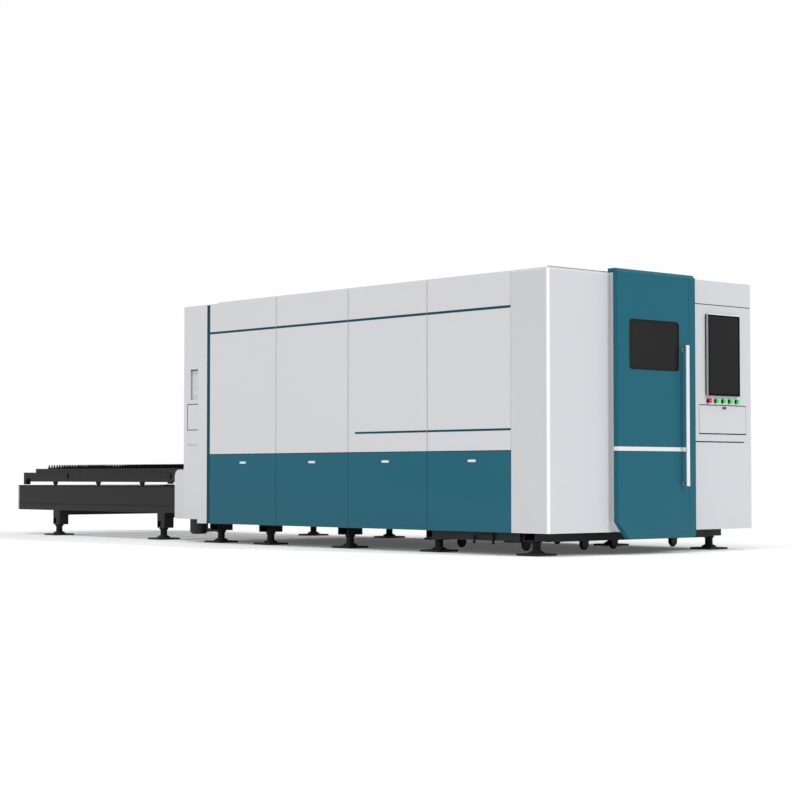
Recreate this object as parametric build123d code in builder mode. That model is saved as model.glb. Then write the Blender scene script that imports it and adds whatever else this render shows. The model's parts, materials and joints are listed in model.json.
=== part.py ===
from build123d import *
import os
from math import cos, pi

os.makedirs("parts", exist_ok=True)

# All values in millimetres. +X runs to the operator end, -Y is the long side seen first, +Z is up.

# Closed housing
HOUSE_FRONT = 4051.0
HOUSE_REAR = -761.0
HALF_W = 1253.0
PANEL_T = 30.0
PANEL_IN = HALF_W - PANEL_T
ROOF_Z = 2250.0
LID_T = 10.0
WALL_TOP = ROOF_Z - LID_T
WALL_BOT = 182.0
SPLIT_Z = 828.0
SEAM = 3.0
SEAM_XS = [-340.0, 661.0, 1664.0, 2670.0, 3646.0]
CORNER_R = 20.0
LID_REAR = -219.0

# Bed, its side beams a sill width inside the panels
SILL_W = 90.0
BEAM_W = 130.0
BEAM_OUT = PANEL_IN - SILL_W
BEAM_IN = BEAM_OUT - BEAM_W
BED_TOP = 940.0
BED_X0 = SEAM_XS[0] + 10
BED_X1 = 3440.0

# Rear columns
COL_FACE_END = SEAM_XS[0] - 101
COL_BEVEL_END = COL_FACE_END + 43
BEVEL_D = 10.0
COL_IN = BEAM_IN + 27
COL_LOW_X = COL_FACE_END - 94
COL_HIGH_BOT = WALL_BOT + 38

# Pallet tracks, one channel each side with an upper and a lower track
TRACK_X0 = -4161.0
TRACK_JOIN = -700.0
TRACK_X1 = 3100.0
TRACK_BOT = 264.0
TRACK_TOP = 529.0
FLANGE_T = 12.0
WEB_T = 10.0
FLANGE_W = 90.0
UPPER_TRACK = TRACK_TOP
LOWER_TRACK = TRACK_BOT + FLANGE_T

# Pallets
PALLET_X0 = TRACK_X0 + 189
PALLET_L = 3387.0
PALLET_X1 = PALLET_X0 + PALLET_L
PALLET_OUT = BEAM_IN - 23
RAIL_W = 40.0
WHEEL_GAP = 0.3
RAIL_LOW = 37.0
RAIL_HIGH = 130.0
LEDGE_HIGH = 175.0
TEETH_HIGH = 217.0
SLAT_LOW = 110.0
SLAT_X0 = PALLET_X0 + 271
SLAT_PITCH = 100.0
SLAT_COUNT = 30
SLAT_T = 5.0
TOOTH_H = 32.0
WHEEL_R = 34.0
WHEEL_XS = [PALLET_X0 + offset for offset in (420, 1250, 2050, 2880)]
PALLET_SHIFT = 3500.0

# Feet
FOOT_XS = [-408.0, 348.0, 1471.0, 2611.0, 3736.0]
FOOT_BOX_X = 67.0
FOOT_BOX_Y = 84.0
FOOT_Y = (BEAM_IN + BEAM_OUT) / 2 - 6
SHUTTLE_FOOT_XS = [-3422.0, -1498.0]
SHUTTLE_FOOT_Y = BEAM_IN - 45
PLATE = 226.0
PLATE_T = 17.0
BRACKET_LOW = 116.0
SHUTTLE_BRACKET_LOW = BRACKET_LOW - 2

# Control cabinet, its plan tied to the far side wall
CAB_W = 846.0
CAB_Y0 = HALF_W - CAB_W
CAB_X0 = HOUSE_FRONT - 600
CAB_BOT = WALL_BOT
CAB_TOP = ROOF_Z + 18
CAB_SKIN = 12.0
CAB_SEAM_TOP = CAB_TOP - 205
MON_H = 690.0
MON_W = 420.0
MON_Y0 = CAB_Y0 + 237
MON_Z1 = CAB_SEAM_TOP - 73
MON = [MON_Y0, MON_Y0 + MON_W, MON_Z1 - MON_H, MON_Z1]
MON_T = 32.0
BUTTON_Z = MON[2] - 42
ESTOP_Y = MON_Y0 + 30
BUTTON_YS = [ESTOP_Y + 99, ESTOP_Y + 192, ESTOP_Y + 282, ESTOP_Y + 373]
BUTTON_R = 11.0
BUTTON_GAP = 0.3
DRAWER_H = 232.0
DRAWER = [CAB_Y0 + 155, HALF_W - 76, BUTTON_Z - 39 - DRAWER_H, BUTTON_Z - 39]
DRAWER_DEPTH = 360.0
CAB_SEAM_LOW = DRAWER[2] - 70
LOCK_Y = (DRAWER[0] + DRAWER[1]) / 2 + 4.5
LOCK_Z = DRAWER[3] - 19
LOCK_R = 9.0
LOCK_GAP = 0.05

# Sliding door
SURR_X1 = HOUSE_FRONT + 39
DOOR_X0 = SURR_X1 + 1
DOOR_T = 51.0
DOOR_X1 = DOOR_X0 + DOOR_T
DOOR_W = 951.0
DOOR_R = CAB_Y0 - 3
DOOR_L = DOOR_R - DOOR_W
DOOR_BOT = WALL_BOT - 57
DOOR_RISE = 35.0
DOOR_TOP = ROOF_Z + DOOR_RISE
DOOR_CUT_Y = 130.0
DOOR_CUT_Z = 137.0
CORNER_FRONT_Y = DOOR_L + 4
CAP_T = 27.0
CAP_BACK = HOUSE_FRONT - 16
WIN = [DOOR_L + 143, DOOR_R - 216, DOOR_TOP - 794, DOOR_TOP - 408]
HANDLE_Y = DOOR_R - 164
HANDLE_Z = [DOOR_BOT + 420, DOOR_TOP - 588]
HANDLE_FRONT = DOOR_X1 + 61
STRIPE_Z = SPLIT_Z + 8

# Motion
RAIL_X = [BED_X0 - 10, BED_X1 - 40]
RAIL_H = 35.0
GANTRY_X = BED_X1 - 940
GANTRY_W = 220.0
RUN_GAP = 0.3


def block(x0, x1, y0, y1, z0, z1, mode=Mode.ADD):
    with Locations(((x0 + x1) / 2, (y0 + y1) / 2, (z0 + z1) / 2)):
        Box(abs(x1 - x0), abs(y1 - y0), abs(z1 - z0), mode=mode)


def pair(x0, x1, y0, y1, z0, z1, mode=Mode.ADD):
    block(x0, x1, y0, y1, z0, z1, mode)
    block(x0, x1, -y1, -y0, z0, z1, mode)


def finish_part(builder, name):
    builder.part.label = name
    export_step(builder.part, "parts/" + name + ".step")


def rounded_plate_x(x0, x1, y0, y1, z0, z1, radius, mode=Mode.ADD):
    with BuildSketch(Plane.YZ.offset(x0)) as outline:
        with Locations(((y0 + y1) / 2, (z0 + z1) / 2)):
            RectangleRounded(abs(y1 - y0), abs(z1 - z0), radius)
    extrude(outline.sketch, amount=x1 - x0, mode=mode)


def rounded_plate_y(x0, x1, y_face, depth, z0, z1, radius, mode=Mode.ADD):
    with BuildSketch(Plane.XZ.offset(-y_face)) as outline:
        with Locations(((x0 + x1) / 2, (z0 + z1) / 2)):
            RectangleRounded(abs(x1 - x0), abs(z1 - z0), radius)
    extrude(outline.sketch, amount=-depth, mode=mode)


# Bed with raised side walls and sills that the panels seat on
with BuildPart() as bed_frame:
    pair(BED_X0, BED_X1, BEAM_IN, BEAM_OUT, WALL_BOT, BED_TOP)
    pair(BED_X0, BED_X1, BEAM_OUT, PANEL_IN, WALL_BOT, WALL_BOT + 40)
    for foot_x in FOOT_XS[1:4]:
        block(foot_x - 60, foot_x + 60, -BEAM_IN, BEAM_IN, WALL_BOT, TRACK_BOT)
finish_part(bed_frame, "bed_frame")

# Low dark frame under the operator end with six transport casters kept clear of the floor by the feet
BASE_LOW = BRACKET_LOW - 10
MEMBER_1 = [FOOT_XS[3] + 79, FOOT_XS[3] + 125]
MEMBER_2 = [FOOT_XS[4] - 161, FOOT_XS[4] - 111]
MEMBER_3 = [FOOT_XS[4] + 4, FOOT_XS[4] + 64]
BASE_HALF = FOOT_Y + FOOT_BOX_Y + 4
FOOT_INNER = FOOT_Y - FOOT_BOX_Y
CASTER_X = [(member[0] + member[1]) / 2 for member in (MEMBER_1, MEMBER_2, MEMBER_3)]
CASTERS = [(CASTER_X[0], -900), (CASTER_X[1], -BASE_HALF + 110), (CASTER_X[0], 250)]
CASTERS += [(CASTER_X[2], -550), (CASTER_X[2], -200), (CASTER_X[2], 545)]
CASTER_R = 28.0
CASTER_Z = BASE_LOW - 45
with BuildPart() as front_base_frame:
    block(MEMBER_1[0], MEMBER_1[1], -BASE_HALF, BASE_HALF, BASE_LOW, WALL_BOT)
    block(MEMBER_2[0], MEMBER_2[1], -BASE_HALF, BASE_HALF, BASE_LOW, WALL_BOT)
    block(MEMBER_3[0], MEMBER_3[1], -FOOT_INNER, FOOT_INNER, BASE_LOW, WALL_BOT)
    for y in [-FOOT_INNER + 48, 0, FOOT_INNER - 48]:
        block(MEMBER_2[1], MEMBER_3[0], y - 25, y + 25, BASE_LOW, WALL_BOT)
    block(MEMBER_1[1], MEMBER_1[1] + 16, -BASE_HALF + 30, BASE_HALF - 190, BASE_LOW, BASE_LOW + 4)
    block(MEMBER_2[0] - 16, MEMBER_2[0], -BASE_HALF + 30, BASE_HALF - 190, BASE_LOW, BASE_LOW + 4)
    block(FOOT_XS[3] + 11, MEMBER_1[1], -BASE_HALF - 3, -BASE_HALF + 3, BASE_LOW, WALL_BOT)
    block(MEMBER_2[0], MEMBER_2[0] + 69, -BASE_HALF - 3, -BASE_HALF + 3, BASE_LOW, WALL_BOT)
    for cx, cy in CASTERS:
        block(cx - 22, cx + 22, cy - 22, cy + 22, BASE_LOW - 6, BASE_LOW)
        for side in [-1, 1]:
            block(cx + side * 16 - 2, cx + side * 16 + 2, cy - 16, cy + 16, CASTER_Z - 8, BASE_LOW - 6)
finish_part(front_base_frame, "front_base_frame")

# Foot brackets: short tubes open at the outer end, the shuttle ones boxes with a slot in the outer face
with BuildPart() as foot_brackets:
    for foot_x in FOOT_XS:
        pair(foot_x - FOOT_BOX_X, foot_x + FOOT_BOX_X, FOOT_Y - FOOT_BOX_Y, FOOT_Y + FOOT_BOX_Y, BRACKET_LOW, WALL_BOT)
        pair(
            foot_x - FOOT_BOX_X + 6,
            foot_x + FOOT_BOX_X - 6,
            FOOT_Y - 40,
            FOOT_Y + FOOT_BOX_Y + 1,
            BRACKET_LOW + 6,
            WALL_BOT - 6,
            Mode.SUBTRACT,
        )
    for foot_x in SHUTTLE_FOOT_XS:
        block(foot_x - 30, foot_x + 50, -SHUTTLE_FOOT_Y + 66, SHUTTLE_FOOT_Y - 66, TRACK_BOT - 50, TRACK_BOT)
    for foot_x in SHUTTLE_FOOT_XS:
        pair(foot_x - 50, foot_x + 74, SHUTTLE_FOOT_Y - 66, BEAM_IN, SHUTTLE_BRACKET_LOW, TRACK_BOT)
        pair(foot_x - 51, foot_x + 10, BEAM_IN - 20, BEAM_IN + 1, SHUTTLE_BRACKET_LOW + 14, TRACK_BOT - 82, Mode.SUBTRACT)
finish_part(foot_brackets, "foot_brackets")

# Levelling spindles with flange ring and hexagon
foot_points = [(x, s * FOOT_Y) for x in FOOT_XS for s in (-1, 1)]
shuttle_points = [(x, s * SHUTTLE_FOOT_Y) for x in SHUTTLE_FOOT_XS for s in (-1, 1)]
with BuildPart() as foot_spindles:
    with BuildSketch(Plane.XY.offset(PLATE_T)):
        with Locations(*foot_points, *shuttle_points):
            RegularPolygon(63, 10)
    extrude(amount=22)
    with BuildSketch(Plane.XY.offset(PLATE_T + 22)):
        with Locations(*foot_points, *shuttle_points):
            RegularPolygon(35, 8)
    extrude(amount=SHUTTLE_BRACKET_LOW - PLATE_T - 32)
    with BuildSketch(Plane.XY.offset(SHUTTLE_BRACKET_LOW - 10)):
        with Locations(*shuttle_points):
            RegularPolygon(50, 6)
    extrude(amount=10)
    with BuildSketch(Plane.XY.offset(SHUTTLE_BRACKET_LOW - 10)):
        with Locations(*foot_points):
            RegularPolygon(50, 6)
    extrude(amount=BRACKET_LOW - SHUTTLE_BRACKET_LOW + 10)
finish_part(foot_spindles, "foot_spindles")

# Square floor plates
with BuildPart() as foot_plates:
    with BuildSketch(Plane.XY):
        with Locations(*foot_points, *shuttle_points):
            Rectangle(PLATE, PLATE)
    extrude(amount=PLATE_T)
finish_part(foot_plates, "foot_plates")

# Round pot below the near rear column
POT_X = COL_LOW_X - 111
POT_Y = -HALF_W + 103
POT_R = 84.0
POT_BOT = COL_HIGH_BOT - 142
with BuildPart() as pot_whole:
    with BuildSketch(Plane.XY.offset(POT_BOT)):
        with Locations((POT_X, POT_Y)):
            RegularPolygon(POT_R, 28)
    extrude(amount=COL_HIGH_BOT - POT_BOT)
    rim = pot_whole.faces().sort_by(Axis.Z)[0].edges()
    chamfer(rim, 22)
    block(COL_LOW_X, COL_LOW_X + 200, POT_Y - 200, POT_Y + 200, WALL_BOT, COL_HIGH_BOT, Mode.SUBTRACT)
finish_part(pot_whole, "column_pot")

# Roof: inner plate between the walls and a thin lid that reaches over them from the step forward
with BuildPart() as roof_panel:
    block(HOUSE_REAR + PANEL_T, SEAM_XS[0], -COL_IN, COL_IN, WALL_TOP - 15, WALL_TOP)
    block(SEAM_XS[0], CAB_X0 - 5, -PANEL_IN, PANEL_IN, WALL_TOP - 15, WALL_TOP)
    with BuildSketch(Plane.XY.offset(WALL_TOP)):
        with BuildLine():
            Polyline(
                (LID_REAR, -HALF_W),
                (HOUSE_FRONT, -HALF_W),
                (HOUSE_FRONT, CAB_Y0 - 5),
                (CAB_X0 - 5, CAB_Y0 - 5),
                (CAB_X0 - 5, HALF_W),
                (LID_REAR, HALF_W),
                close=True,
            )
        make_face()
    extrude(amount=LID_T)
    lid_corner = roof_panel.edges().filter_by(Axis.Z).sort_by_distance((HOUSE_FRONT, -HALF_W, ROOF_Z))[0]
    fillet(lid_corner, CORNER_R)
    # Open lattice for the fume outlet on the far half of the roof
    for slot in range(8):
        block(400 + slot * 60, 430 + slot * 60, HALF_W - 753, HALF_W - 353, WALL_TOP - 20, ROOF_Z + 1, Mode.SUBTRACT)
finish_part(roof_panel, "roof_panel")


# Near upper panels, one per bay
def upper_panel(x0, x1):
    block(x0 + SEAM / 2, x1 - SEAM / 2, -HALF_W, -PANEL_IN, SPLIT_Z + SEAM / 2, WALL_TOP)


for bay in range(4):
    with BuildPart() as bay_panel:
        upper_panel(SEAM_XS[bay], SEAM_XS[bay + 1])
        vertical = bay_panel.edges().filter_by(Axis.Z).group_by(Axis.Y)[0]
        chamfer(vertical, 2)
    finish_part(bay_panel, "upper_panel_" + str(bay + 1))

# Colour stripe, thin line and the upright strip beside the column
with BuildPart() as trim_stripes:
    for bay in range(4):
        block(SEAM_XS[bay] + 4, SEAM_XS[bay + 1] - 4, -HALF_W - 1, -HALF_W, ROOF_Z - 293, ROOF_Z - 273)
    block(SEAM_XS[2] + 93, SEAM_XS[3] - 4, -HALF_W - 1, -HALF_W, SPLIT_Z + 160, SPLIT_Z + 177)
    block(SEAM_XS[3] + 4, SEAM_XS[4] - 4, -HALF_W - 1, -HALF_W, SPLIT_Z + 160, SPLIT_Z + 177)
    block(COL_BEVEL_END, SEAM_XS[0] - 1, -HALF_W + BEVEL_D, -PANEL_IN, WALL_BOT, WALL_TOP - 4)
finish_part(trim_stripes, "trim_stripes")

# Corner cover that wraps from the long side to the operator end
with BuildPart() as corner_cover:
    with BuildSketch(Plane.XY.offset(WALL_BOT)):
        with BuildLine():
            Polyline(
                (SEAM_XS[4] + SEAM / 2, -HALF_W),
                (HOUSE_FRONT, -HALF_W),
                (HOUSE_FRONT, CORNER_FRONT_Y),
                (HOUSE_FRONT - PANEL_T, CORNER_FRONT_Y),
                (HOUSE_FRONT - PANEL_T, -PANEL_IN),
                (SEAM_XS[4] + SEAM / 2, -PANEL_IN),
                close=True,
            )
        make_face()
    extrude(amount=WALL_TOP - WALL_BOT)
    outer = corner_cover.edges().filter_by(Axis.Z).sort_by_distance((HOUSE_FRONT, -HALF_W, 1000))[0]
    fillet(outer, CORNER_R)
finish_part(corner_cover, "corner_cover")

# Near rear column: bevelled edge, louvred recess, hatch recess and a short slot line
HATCH = [HOUSE_REAR + 71, COL_FACE_END - 86, ROOF_Z - 1183, ROOF_Z - 947]
VENT = [HOUSE_REAR + 112, COL_FACE_END - 88, ROOF_Z - 900, ROOF_Z - 613]
VENT_D = 22.0
with BuildPart() as rear_column_near:
    with BuildSketch(Plane.XY.offset(WALL_BOT)):
        with BuildLine():
            Polyline(
                (HOUSE_REAR, -HALF_W),
                (COL_FACE_END, -HALF_W),
                (COL_BEVEL_END, -HALF_W + BEVEL_D),
                (COL_BEVEL_END, -COL_IN),
                (HOUSE_REAR, -COL_IN),
                close=True,
            )
        make_face()
    extrude(amount=WALL_TOP - WALL_BOT)
    rear_edge = rear_column_near.edges().filter_by(Axis.Z).sort_by_distance((HOUSE_REAR, -HALF_W, 1000))[0]
    fillet(rear_edge, 12)
    block(HOUSE_REAR - 1, COL_LOW_X, -HALF_W - 1, -COL_IN + 1, WALL_BOT - 1, COL_HIGH_BOT, Mode.SUBTRACT)
    block(COL_FACE_END, COL_BEVEL_END + 1, -HALF_W - 1, -HALF_W + BEVEL_D + 8, WALL_TOP - 14, WALL_TOP + 1, Mode.SUBTRACT)
    block(HATCH[0] - 5, HATCH[1] + 1, -HALF_W - 1, -HALF_W + 6 + RUN_GAP, HATCH[2] - 5, HATCH[3] + 5, Mode.SUBTRACT)
    block(HATCH[0] + 12, HATCH[1] - 12, -HALF_W, -HALF_W + 90, HATCH[2] + 12, HATCH[3] - 12, Mode.SUBTRACT)
    block(VENT[0], VENT[1], -HALF_W - 1, -HALF_W + VENT_D, VENT[2], VENT[3], Mode.SUBTRACT)
    block(HATCH[0] + 4, HATCH[1] + 1, -HALF_W - 1, -HALF_W + 5, HATCH[2] - 141, HATCH[2] - 134, Mode.SUBTRACT)
    for row in range(4):
        for col in range(2):
            lx = VENT[0] + 46 + col * 36
            lz = VENT[2] + 42 + row * 68
            with BuildSketch(Plane.XZ.offset(HALF_W - VENT_D)):
                with Locations((lx, lz)):
                    RegularPolygon(9, 8)
            extrude(amount=8)
finish_part(rear_column_near, "rear_column_near")

# Far rear column and the plain header between the two columns above the pallet entry
with BuildPart() as rear_column_far:
    block(HOUSE_REAR, SEAM_XS[0] - 1, COL_IN, HALF_W, WALL_BOT, WALL_TOP)
    block(HOUSE_REAR - 1, COL_LOW_X, COL_IN - 1, HALF_W + 1, WALL_BOT - 1, COL_HIGH_BOT, Mode.SUBTRACT)
    block(HOUSE_REAR, HOUSE_REAR + PANEL_T, -COL_IN, COL_IN, SPLIT_Z + 32, WALL_TOP)
finish_part(rear_column_far, "rear_portal")

# Far side walls, plain
with BuildPart() as far_upper_panels:
    far_ends = SEAM_XS[:4] + [CAB_X0 - 5 + SEAM / 2]
    for bay in range(4):
        block(far_ends[bay] + SEAM / 2, far_ends[bay + 1] - SEAM / 2, PANEL_IN, HALF_W, SPLIT_Z + SEAM / 2, WALL_TOP)
finish_part(far_upper_panels, "far_upper_panels")

with BuildPart() as far_lower_panels:
    for bay in range(4):
        block(far_ends[bay] + SEAM / 2, far_ends[bay + 1] - SEAM / 2, PANEL_IN, HALF_W, WALL_BOT, SPLIT_Z - SEAM / 2)
finish_part(far_lower_panels, "far_lower_panels")

# Pale covers where the shuttle meets the housing, and the pale end plate of the shuttle
COVER_X = HOUSE_REAR - 471
with BuildPart() as shuttle_covers:
    with BuildSketch(Plane.XZ.offset(BEAM_IN)):
        with BuildLine():
            Polyline(
                (COVER_X, TRACK_BOT - 52),
                (HOUSE_REAR, TRACK_BOT - 52),
                (HOUSE_REAR, TRACK_TOP + 161),
                (COVER_X + 60, TRACK_TOP + 161),
                (COVER_X + 17, TRACK_TOP + 143),
                (COVER_X, TRACK_TOP + 101),
                close=True,
            )
        make_face()
    extrude(amount=14)
    with BuildSketch(Plane.XZ.offset(-BEAM_IN)):
        with BuildLine():
            Polyline(
                (COVER_X, TRACK_BOT - 52),
                (HOUSE_REAR, TRACK_BOT - 52),
                (HOUSE_REAR, TRACK_TOP + 161),
                (COVER_X + 60, TRACK_TOP + 161),
                (COVER_X + 17, TRACK_TOP + 143),
                (COVER_X, TRACK_TOP + 101),
                close=True,
            )
        make_face()
    extrude(amount=-14)
    block(TRACK_X0 - 42, TRACK_X0 - 10, -BEAM_IN, BEAM_IN, TRACK_BOT, TRACK_TOP)
    end_edges = shuttle_covers.edges().filter_by(Axis.Z).group_by(Axis.X)[0]
    chamfer(end_edges, 6)
finish_part(shuttle_covers, "shuttle_covers")


# Pallet tracks: a channel each side, open towards the middle
def channel_pair(x0, x1):
    for side in [-1, 1]:
        with BuildSketch(Plane.YZ.offset(x0)) as channel:
            with BuildLine():
                Polyline(
                    (side * BEAM_IN, TRACK_BOT),
                    (side * (BEAM_IN - FLANGE_W), TRACK_BOT),
                    (side * (BEAM_IN - FLANGE_W), TRACK_BOT + FLANGE_T),
                    (side * (BEAM_IN - WEB_T), TRACK_BOT + FLANGE_T),
                    (side * (BEAM_IN - WEB_T), TRACK_TOP - FLANGE_T),
                    (side * (BEAM_IN - FLANGE_W), TRACK_TOP - FLANGE_T),
                    (side * (BEAM_IN - FLANGE_W), TRACK_TOP),
                    (side * BEAM_IN, TRACK_TOP),
                    close=True,
                )
            make_face()
        extrude(channel.sketch, amount=x1 - x0)


with BuildPart() as shuttle_frame:
    channel_pair(TRACK_X0, TRACK_JOIN)
    pair(TRACK_X0 + 20, TRACK_JOIN, BEAM_IN - 4, BEAM_IN + 1, TRACK_BOT + 69, TRACK_BOT + 77, Mode.SUBTRACT)
    for cross_x in [SHUTTLE_FOOT_XS[0], -2740, -2110, SHUTTLE_FOOT_XS[1], -900]:
        block(cross_x - 40, cross_x + 40, -BEAM_IN + FLANGE_W, BEAM_IN - FLANGE_W, TRACK_BOT, TRACK_BOT + 36)
    block(TRACK_X0 - 10, TRACK_X0, -BEAM_IN + 20, BEAM_IN - 20, TRACK_BOT + 10, TRACK_TOP - 10)
finish_part(shuttle_frame, "shuttle_frame")

with BuildPart() as bed_tracks:
    channel_pair(TRACK_JOIN, TRACK_X1)
    block(TRACK_X1, TRACK_X1 + 12, -BEAM_IN, BEAM_IN, TRACK_BOT, TRACK_TOP)
finish_part(bed_tracks, "bed_tracks")


# Pallets: frame with end hooks, toothed slats and four wheels a side
def pallet_frame(shift, zb):
    x0 = PALLET_X0 + shift
    x1 = PALLET_X1 + shift
    pair(x0, x1, PALLET_OUT - RAIL_W, PALLET_OUT, zb + RAIL_LOW, zb + RAIL_HIGH)
    pair(x0 + 87, x1 - 30, PALLET_OUT - RAIL_W - 8, PALLET_OUT - 12, zb + RAIL_HIGH, zb + LEDGE_HIGH)
    for mark in [[657, 770], [2529, 2631]]:
        pair(x0 + mark[0], x0 + mark[1], PALLET_OUT - 6, PALLET_OUT + 1, zb + 71, zb + 131, Mode.SUBTRACT)
    for cross in range(6):
        cx = x0 + 60 + cross * 650
        half = PALLET_OUT - RAIL_W
        block(cx - 30, cx + 30, -half, half, zb + 2 * WHEEL_R + 4, zb + SLAT_LOW)
    for side in [-1, 1]:
        with BuildSketch(Plane.XZ.offset(-side * (PALLET_OUT - 30))) as hook:
            with BuildLine():
                Polyline(
                    (x0 - 140, zb + 6),
                    (x0 - 140, zb + 135),
                    (x0, zb + 135),
                    (x0, zb + 72),
                    (x0 - 64, zb + 72),
                    (x0 - 84, zb + 64),
                    (x0 - 98, zb + 44),
                    (x0 - 98, zb + 6),
                    close=True,
                )
            make_face()
        extrude(hook.sketch, amount=30, both=True)
    block(x0 - 138, x0 - 100, -PALLET_OUT + 60, PALLET_OUT - 60, zb + 60, zb + 120)


def pallet_slats(shift, zb, teeth):
    half = PALLET_OUT - RAIL_W - 8
    step = 2 * half / teeth
    points = [(-half, zb + SLAT_LOW)]
    points.append((-half, zb + TEETH_HIGH - TOOTH_H))
    for tooth in range(teeth):
        y = -half + tooth * step
        points.append((y + step * 0.5, zb + TEETH_HIGH))
        points.append((y + step, zb + TEETH_HIGH - TOOTH_H))
    points.append((half, zb + SLAT_LOW))
    for slat in range(SLAT_COUNT):
        sx = SLAT_X0 + shift + slat * SLAT_PITCH
        with BuildSketch(Plane.YZ.offset(sx)) as outline:
            with BuildLine():
                Polyline(*points, close=True)
            make_face()
        extrude(outline.sketch, amount=SLAT_T)


def pallet_wheels(shift, zb):
    inner = PALLET_OUT - RAIL_W
    for side in [-1, 1]:
        with BuildSketch(Plane.XZ.offset(-side * (inner - 13))) as tread:
            with Locations(*[(x + shift, zb + WHEEL_GAP + WHEEL_R) for x in WHEEL_XS]):
                RegularPolygon(WHEEL_R, 12)
        extrude(tread.sketch, amount=11, both=True)
        with BuildSketch(Plane.XZ.offset(-side * (inner - 1))) as stub:
            with Locations(*[(x + shift, zb + WHEEL_GAP + WHEEL_R) for x in WHEEL_XS]):
                RegularPolygon(14, 6)
        extrude(stub.sketch, amount=1, both=True)


with BuildPart() as pallet_upper_frame:
    pallet_frame(0, UPPER_TRACK)
finish_part(pallet_upper_frame, "pallet_upper_frame")

with BuildPart() as pallet_upper_slats:
    pallet_slats(0, UPPER_TRACK, 3)
finish_part(pallet_upper_slats, "pallet_upper_slats")

with BuildPart() as pallet_upper_wheels:
    pallet_wheels(0, UPPER_TRACK)
finish_part(pallet_upper_wheels, "pallet_upper_wheels")

with BuildPart() as pallet_lower_frame:
    pallet_frame(PALLET_SHIFT, LOWER_TRACK)
finish_part(pallet_lower_frame, "pallet_lower_frame")

with BuildPart() as pallet_lower_slats:
    pallet_slats(PALLET_SHIFT, LOWER_TRACK, 2)
finish_part(pallet_lower_slats, "pallet_lower_slats")

with BuildPart() as pallet_lower_wheels:
    pallet_wheels(PALLET_SHIFT, LOWER_TRACK)
finish_part(pallet_lower_wheels, "pallet_lower_wheels")

# Pallet drive: gear motor on the bed, cross shaft with two sprockets
SHAFT_X = TRACK_X1 + 150
SHAFT_Z = (TRACK_BOT + TRACK_TOP) / 2 + 23.5
with BuildPart() as pallet_motor:
    block(SHAFT_X - 70, SHAFT_X + 70, BEAM_IN - 130, BEAM_IN, SHAFT_Z - 70, SHAFT_Z + 70)
    with BuildSketch(Plane.XZ.offset(-(BEAM_IN - 131))):
        with Locations((SHAFT_X, SHAFT_Z)):
            RegularPolygon(20 + 0.6, 12)
    extrude(amount=-60, mode=Mode.SUBTRACT)
    with BuildSketch(Plane.XY.offset(SHAFT_Z + 70)):
        with Locations((SHAFT_X, BEAM_IN - 65)):
            RegularPolygon(55, 16)
    extrude(amount=220)
    block(SHAFT_X - 60, SHAFT_X + 60, -BEAM_IN, -BEAM_IN + 60, SHAFT_Z - 60, SHAFT_Z + 60)
    with BuildSketch(Plane.XZ.offset(BEAM_IN - 61)):
        with Locations((SHAFT_X, SHAFT_Z)):
            RegularPolygon(20 + 0.6, 12)
    extrude(amount=30, mode=Mode.SUBTRACT)
finish_part(pallet_motor, "pallet_motor")

with BuildPart() as drive_shaft:
    with BuildSketch(Plane.XZ.offset(-(BEAM_IN - 90))):
        with Locations((SHAFT_X, SHAFT_Z)):
            RegularPolygon(19, 12)
    extrude(amount=2 * BEAM_IN - 130)
    for sprocket_y in [-BEAM_IN + 143, BEAM_IN - 173]:
        with BuildSketch(Plane.XZ.offset(-sprocket_y)):
            with Locations((SHAFT_X, SHAFT_Z)):
                RegularPolygon(62, 14)
        extrude(amount=14)
finish_part(drive_shaft, "drive_shaft")

# Fixed door surround with the doorway, its lower corner cut along the slope of the door
SURR_CUT_Y = DOOR_L + DOOR_CUT_Y * (DOOR_BOT + DOOR_CUT_Z - WALL_BOT) / DOOR_CUT_Z
DOORWAY = [DOOR_L + 77, DOOR_R - 74, WALL_BOT + 118, ROOF_Z - 100]
with BuildPart() as door_surround:
    with BuildSketch(Plane.YZ.offset(HOUSE_FRONT)):
        with BuildLine():
            Polyline(
                (DOOR_L, DOOR_BOT + DOOR_CUT_Z),
                (SURR_CUT_Y, WALL_BOT),
                (DOOR_R, WALL_BOT),
                (DOOR_R, ROOF_Z),
                (DOOR_L, ROOF_Z),
                close=True,
            )
        make_face()
        with Locations(((DOORWAY[0] + DOORWAY[1]) / 2, (DOORWAY[2] + DOORWAY[3]) / 2)):
            RectangleRounded(DOORWAY[1] - DOORWAY[0], DOORWAY[3] - DOORWAY[2], 30, mode=Mode.SUBTRACT)
    extrude(amount=SURR_X1 - HOUSE_FRONT)
finish_part(door_surround, "door_surround")

# Track bar on the roof edge that carries the door
with BuildPart() as door_track:
    block(CAP_BACK + 1, HOUSE_FRONT - 3, -HALF_W + 12, DOOR_R - 44, ROOF_Z, DOOR_TOP - CAP_T - RUN_GAP)
finish_part(door_track, "door_track")

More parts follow.
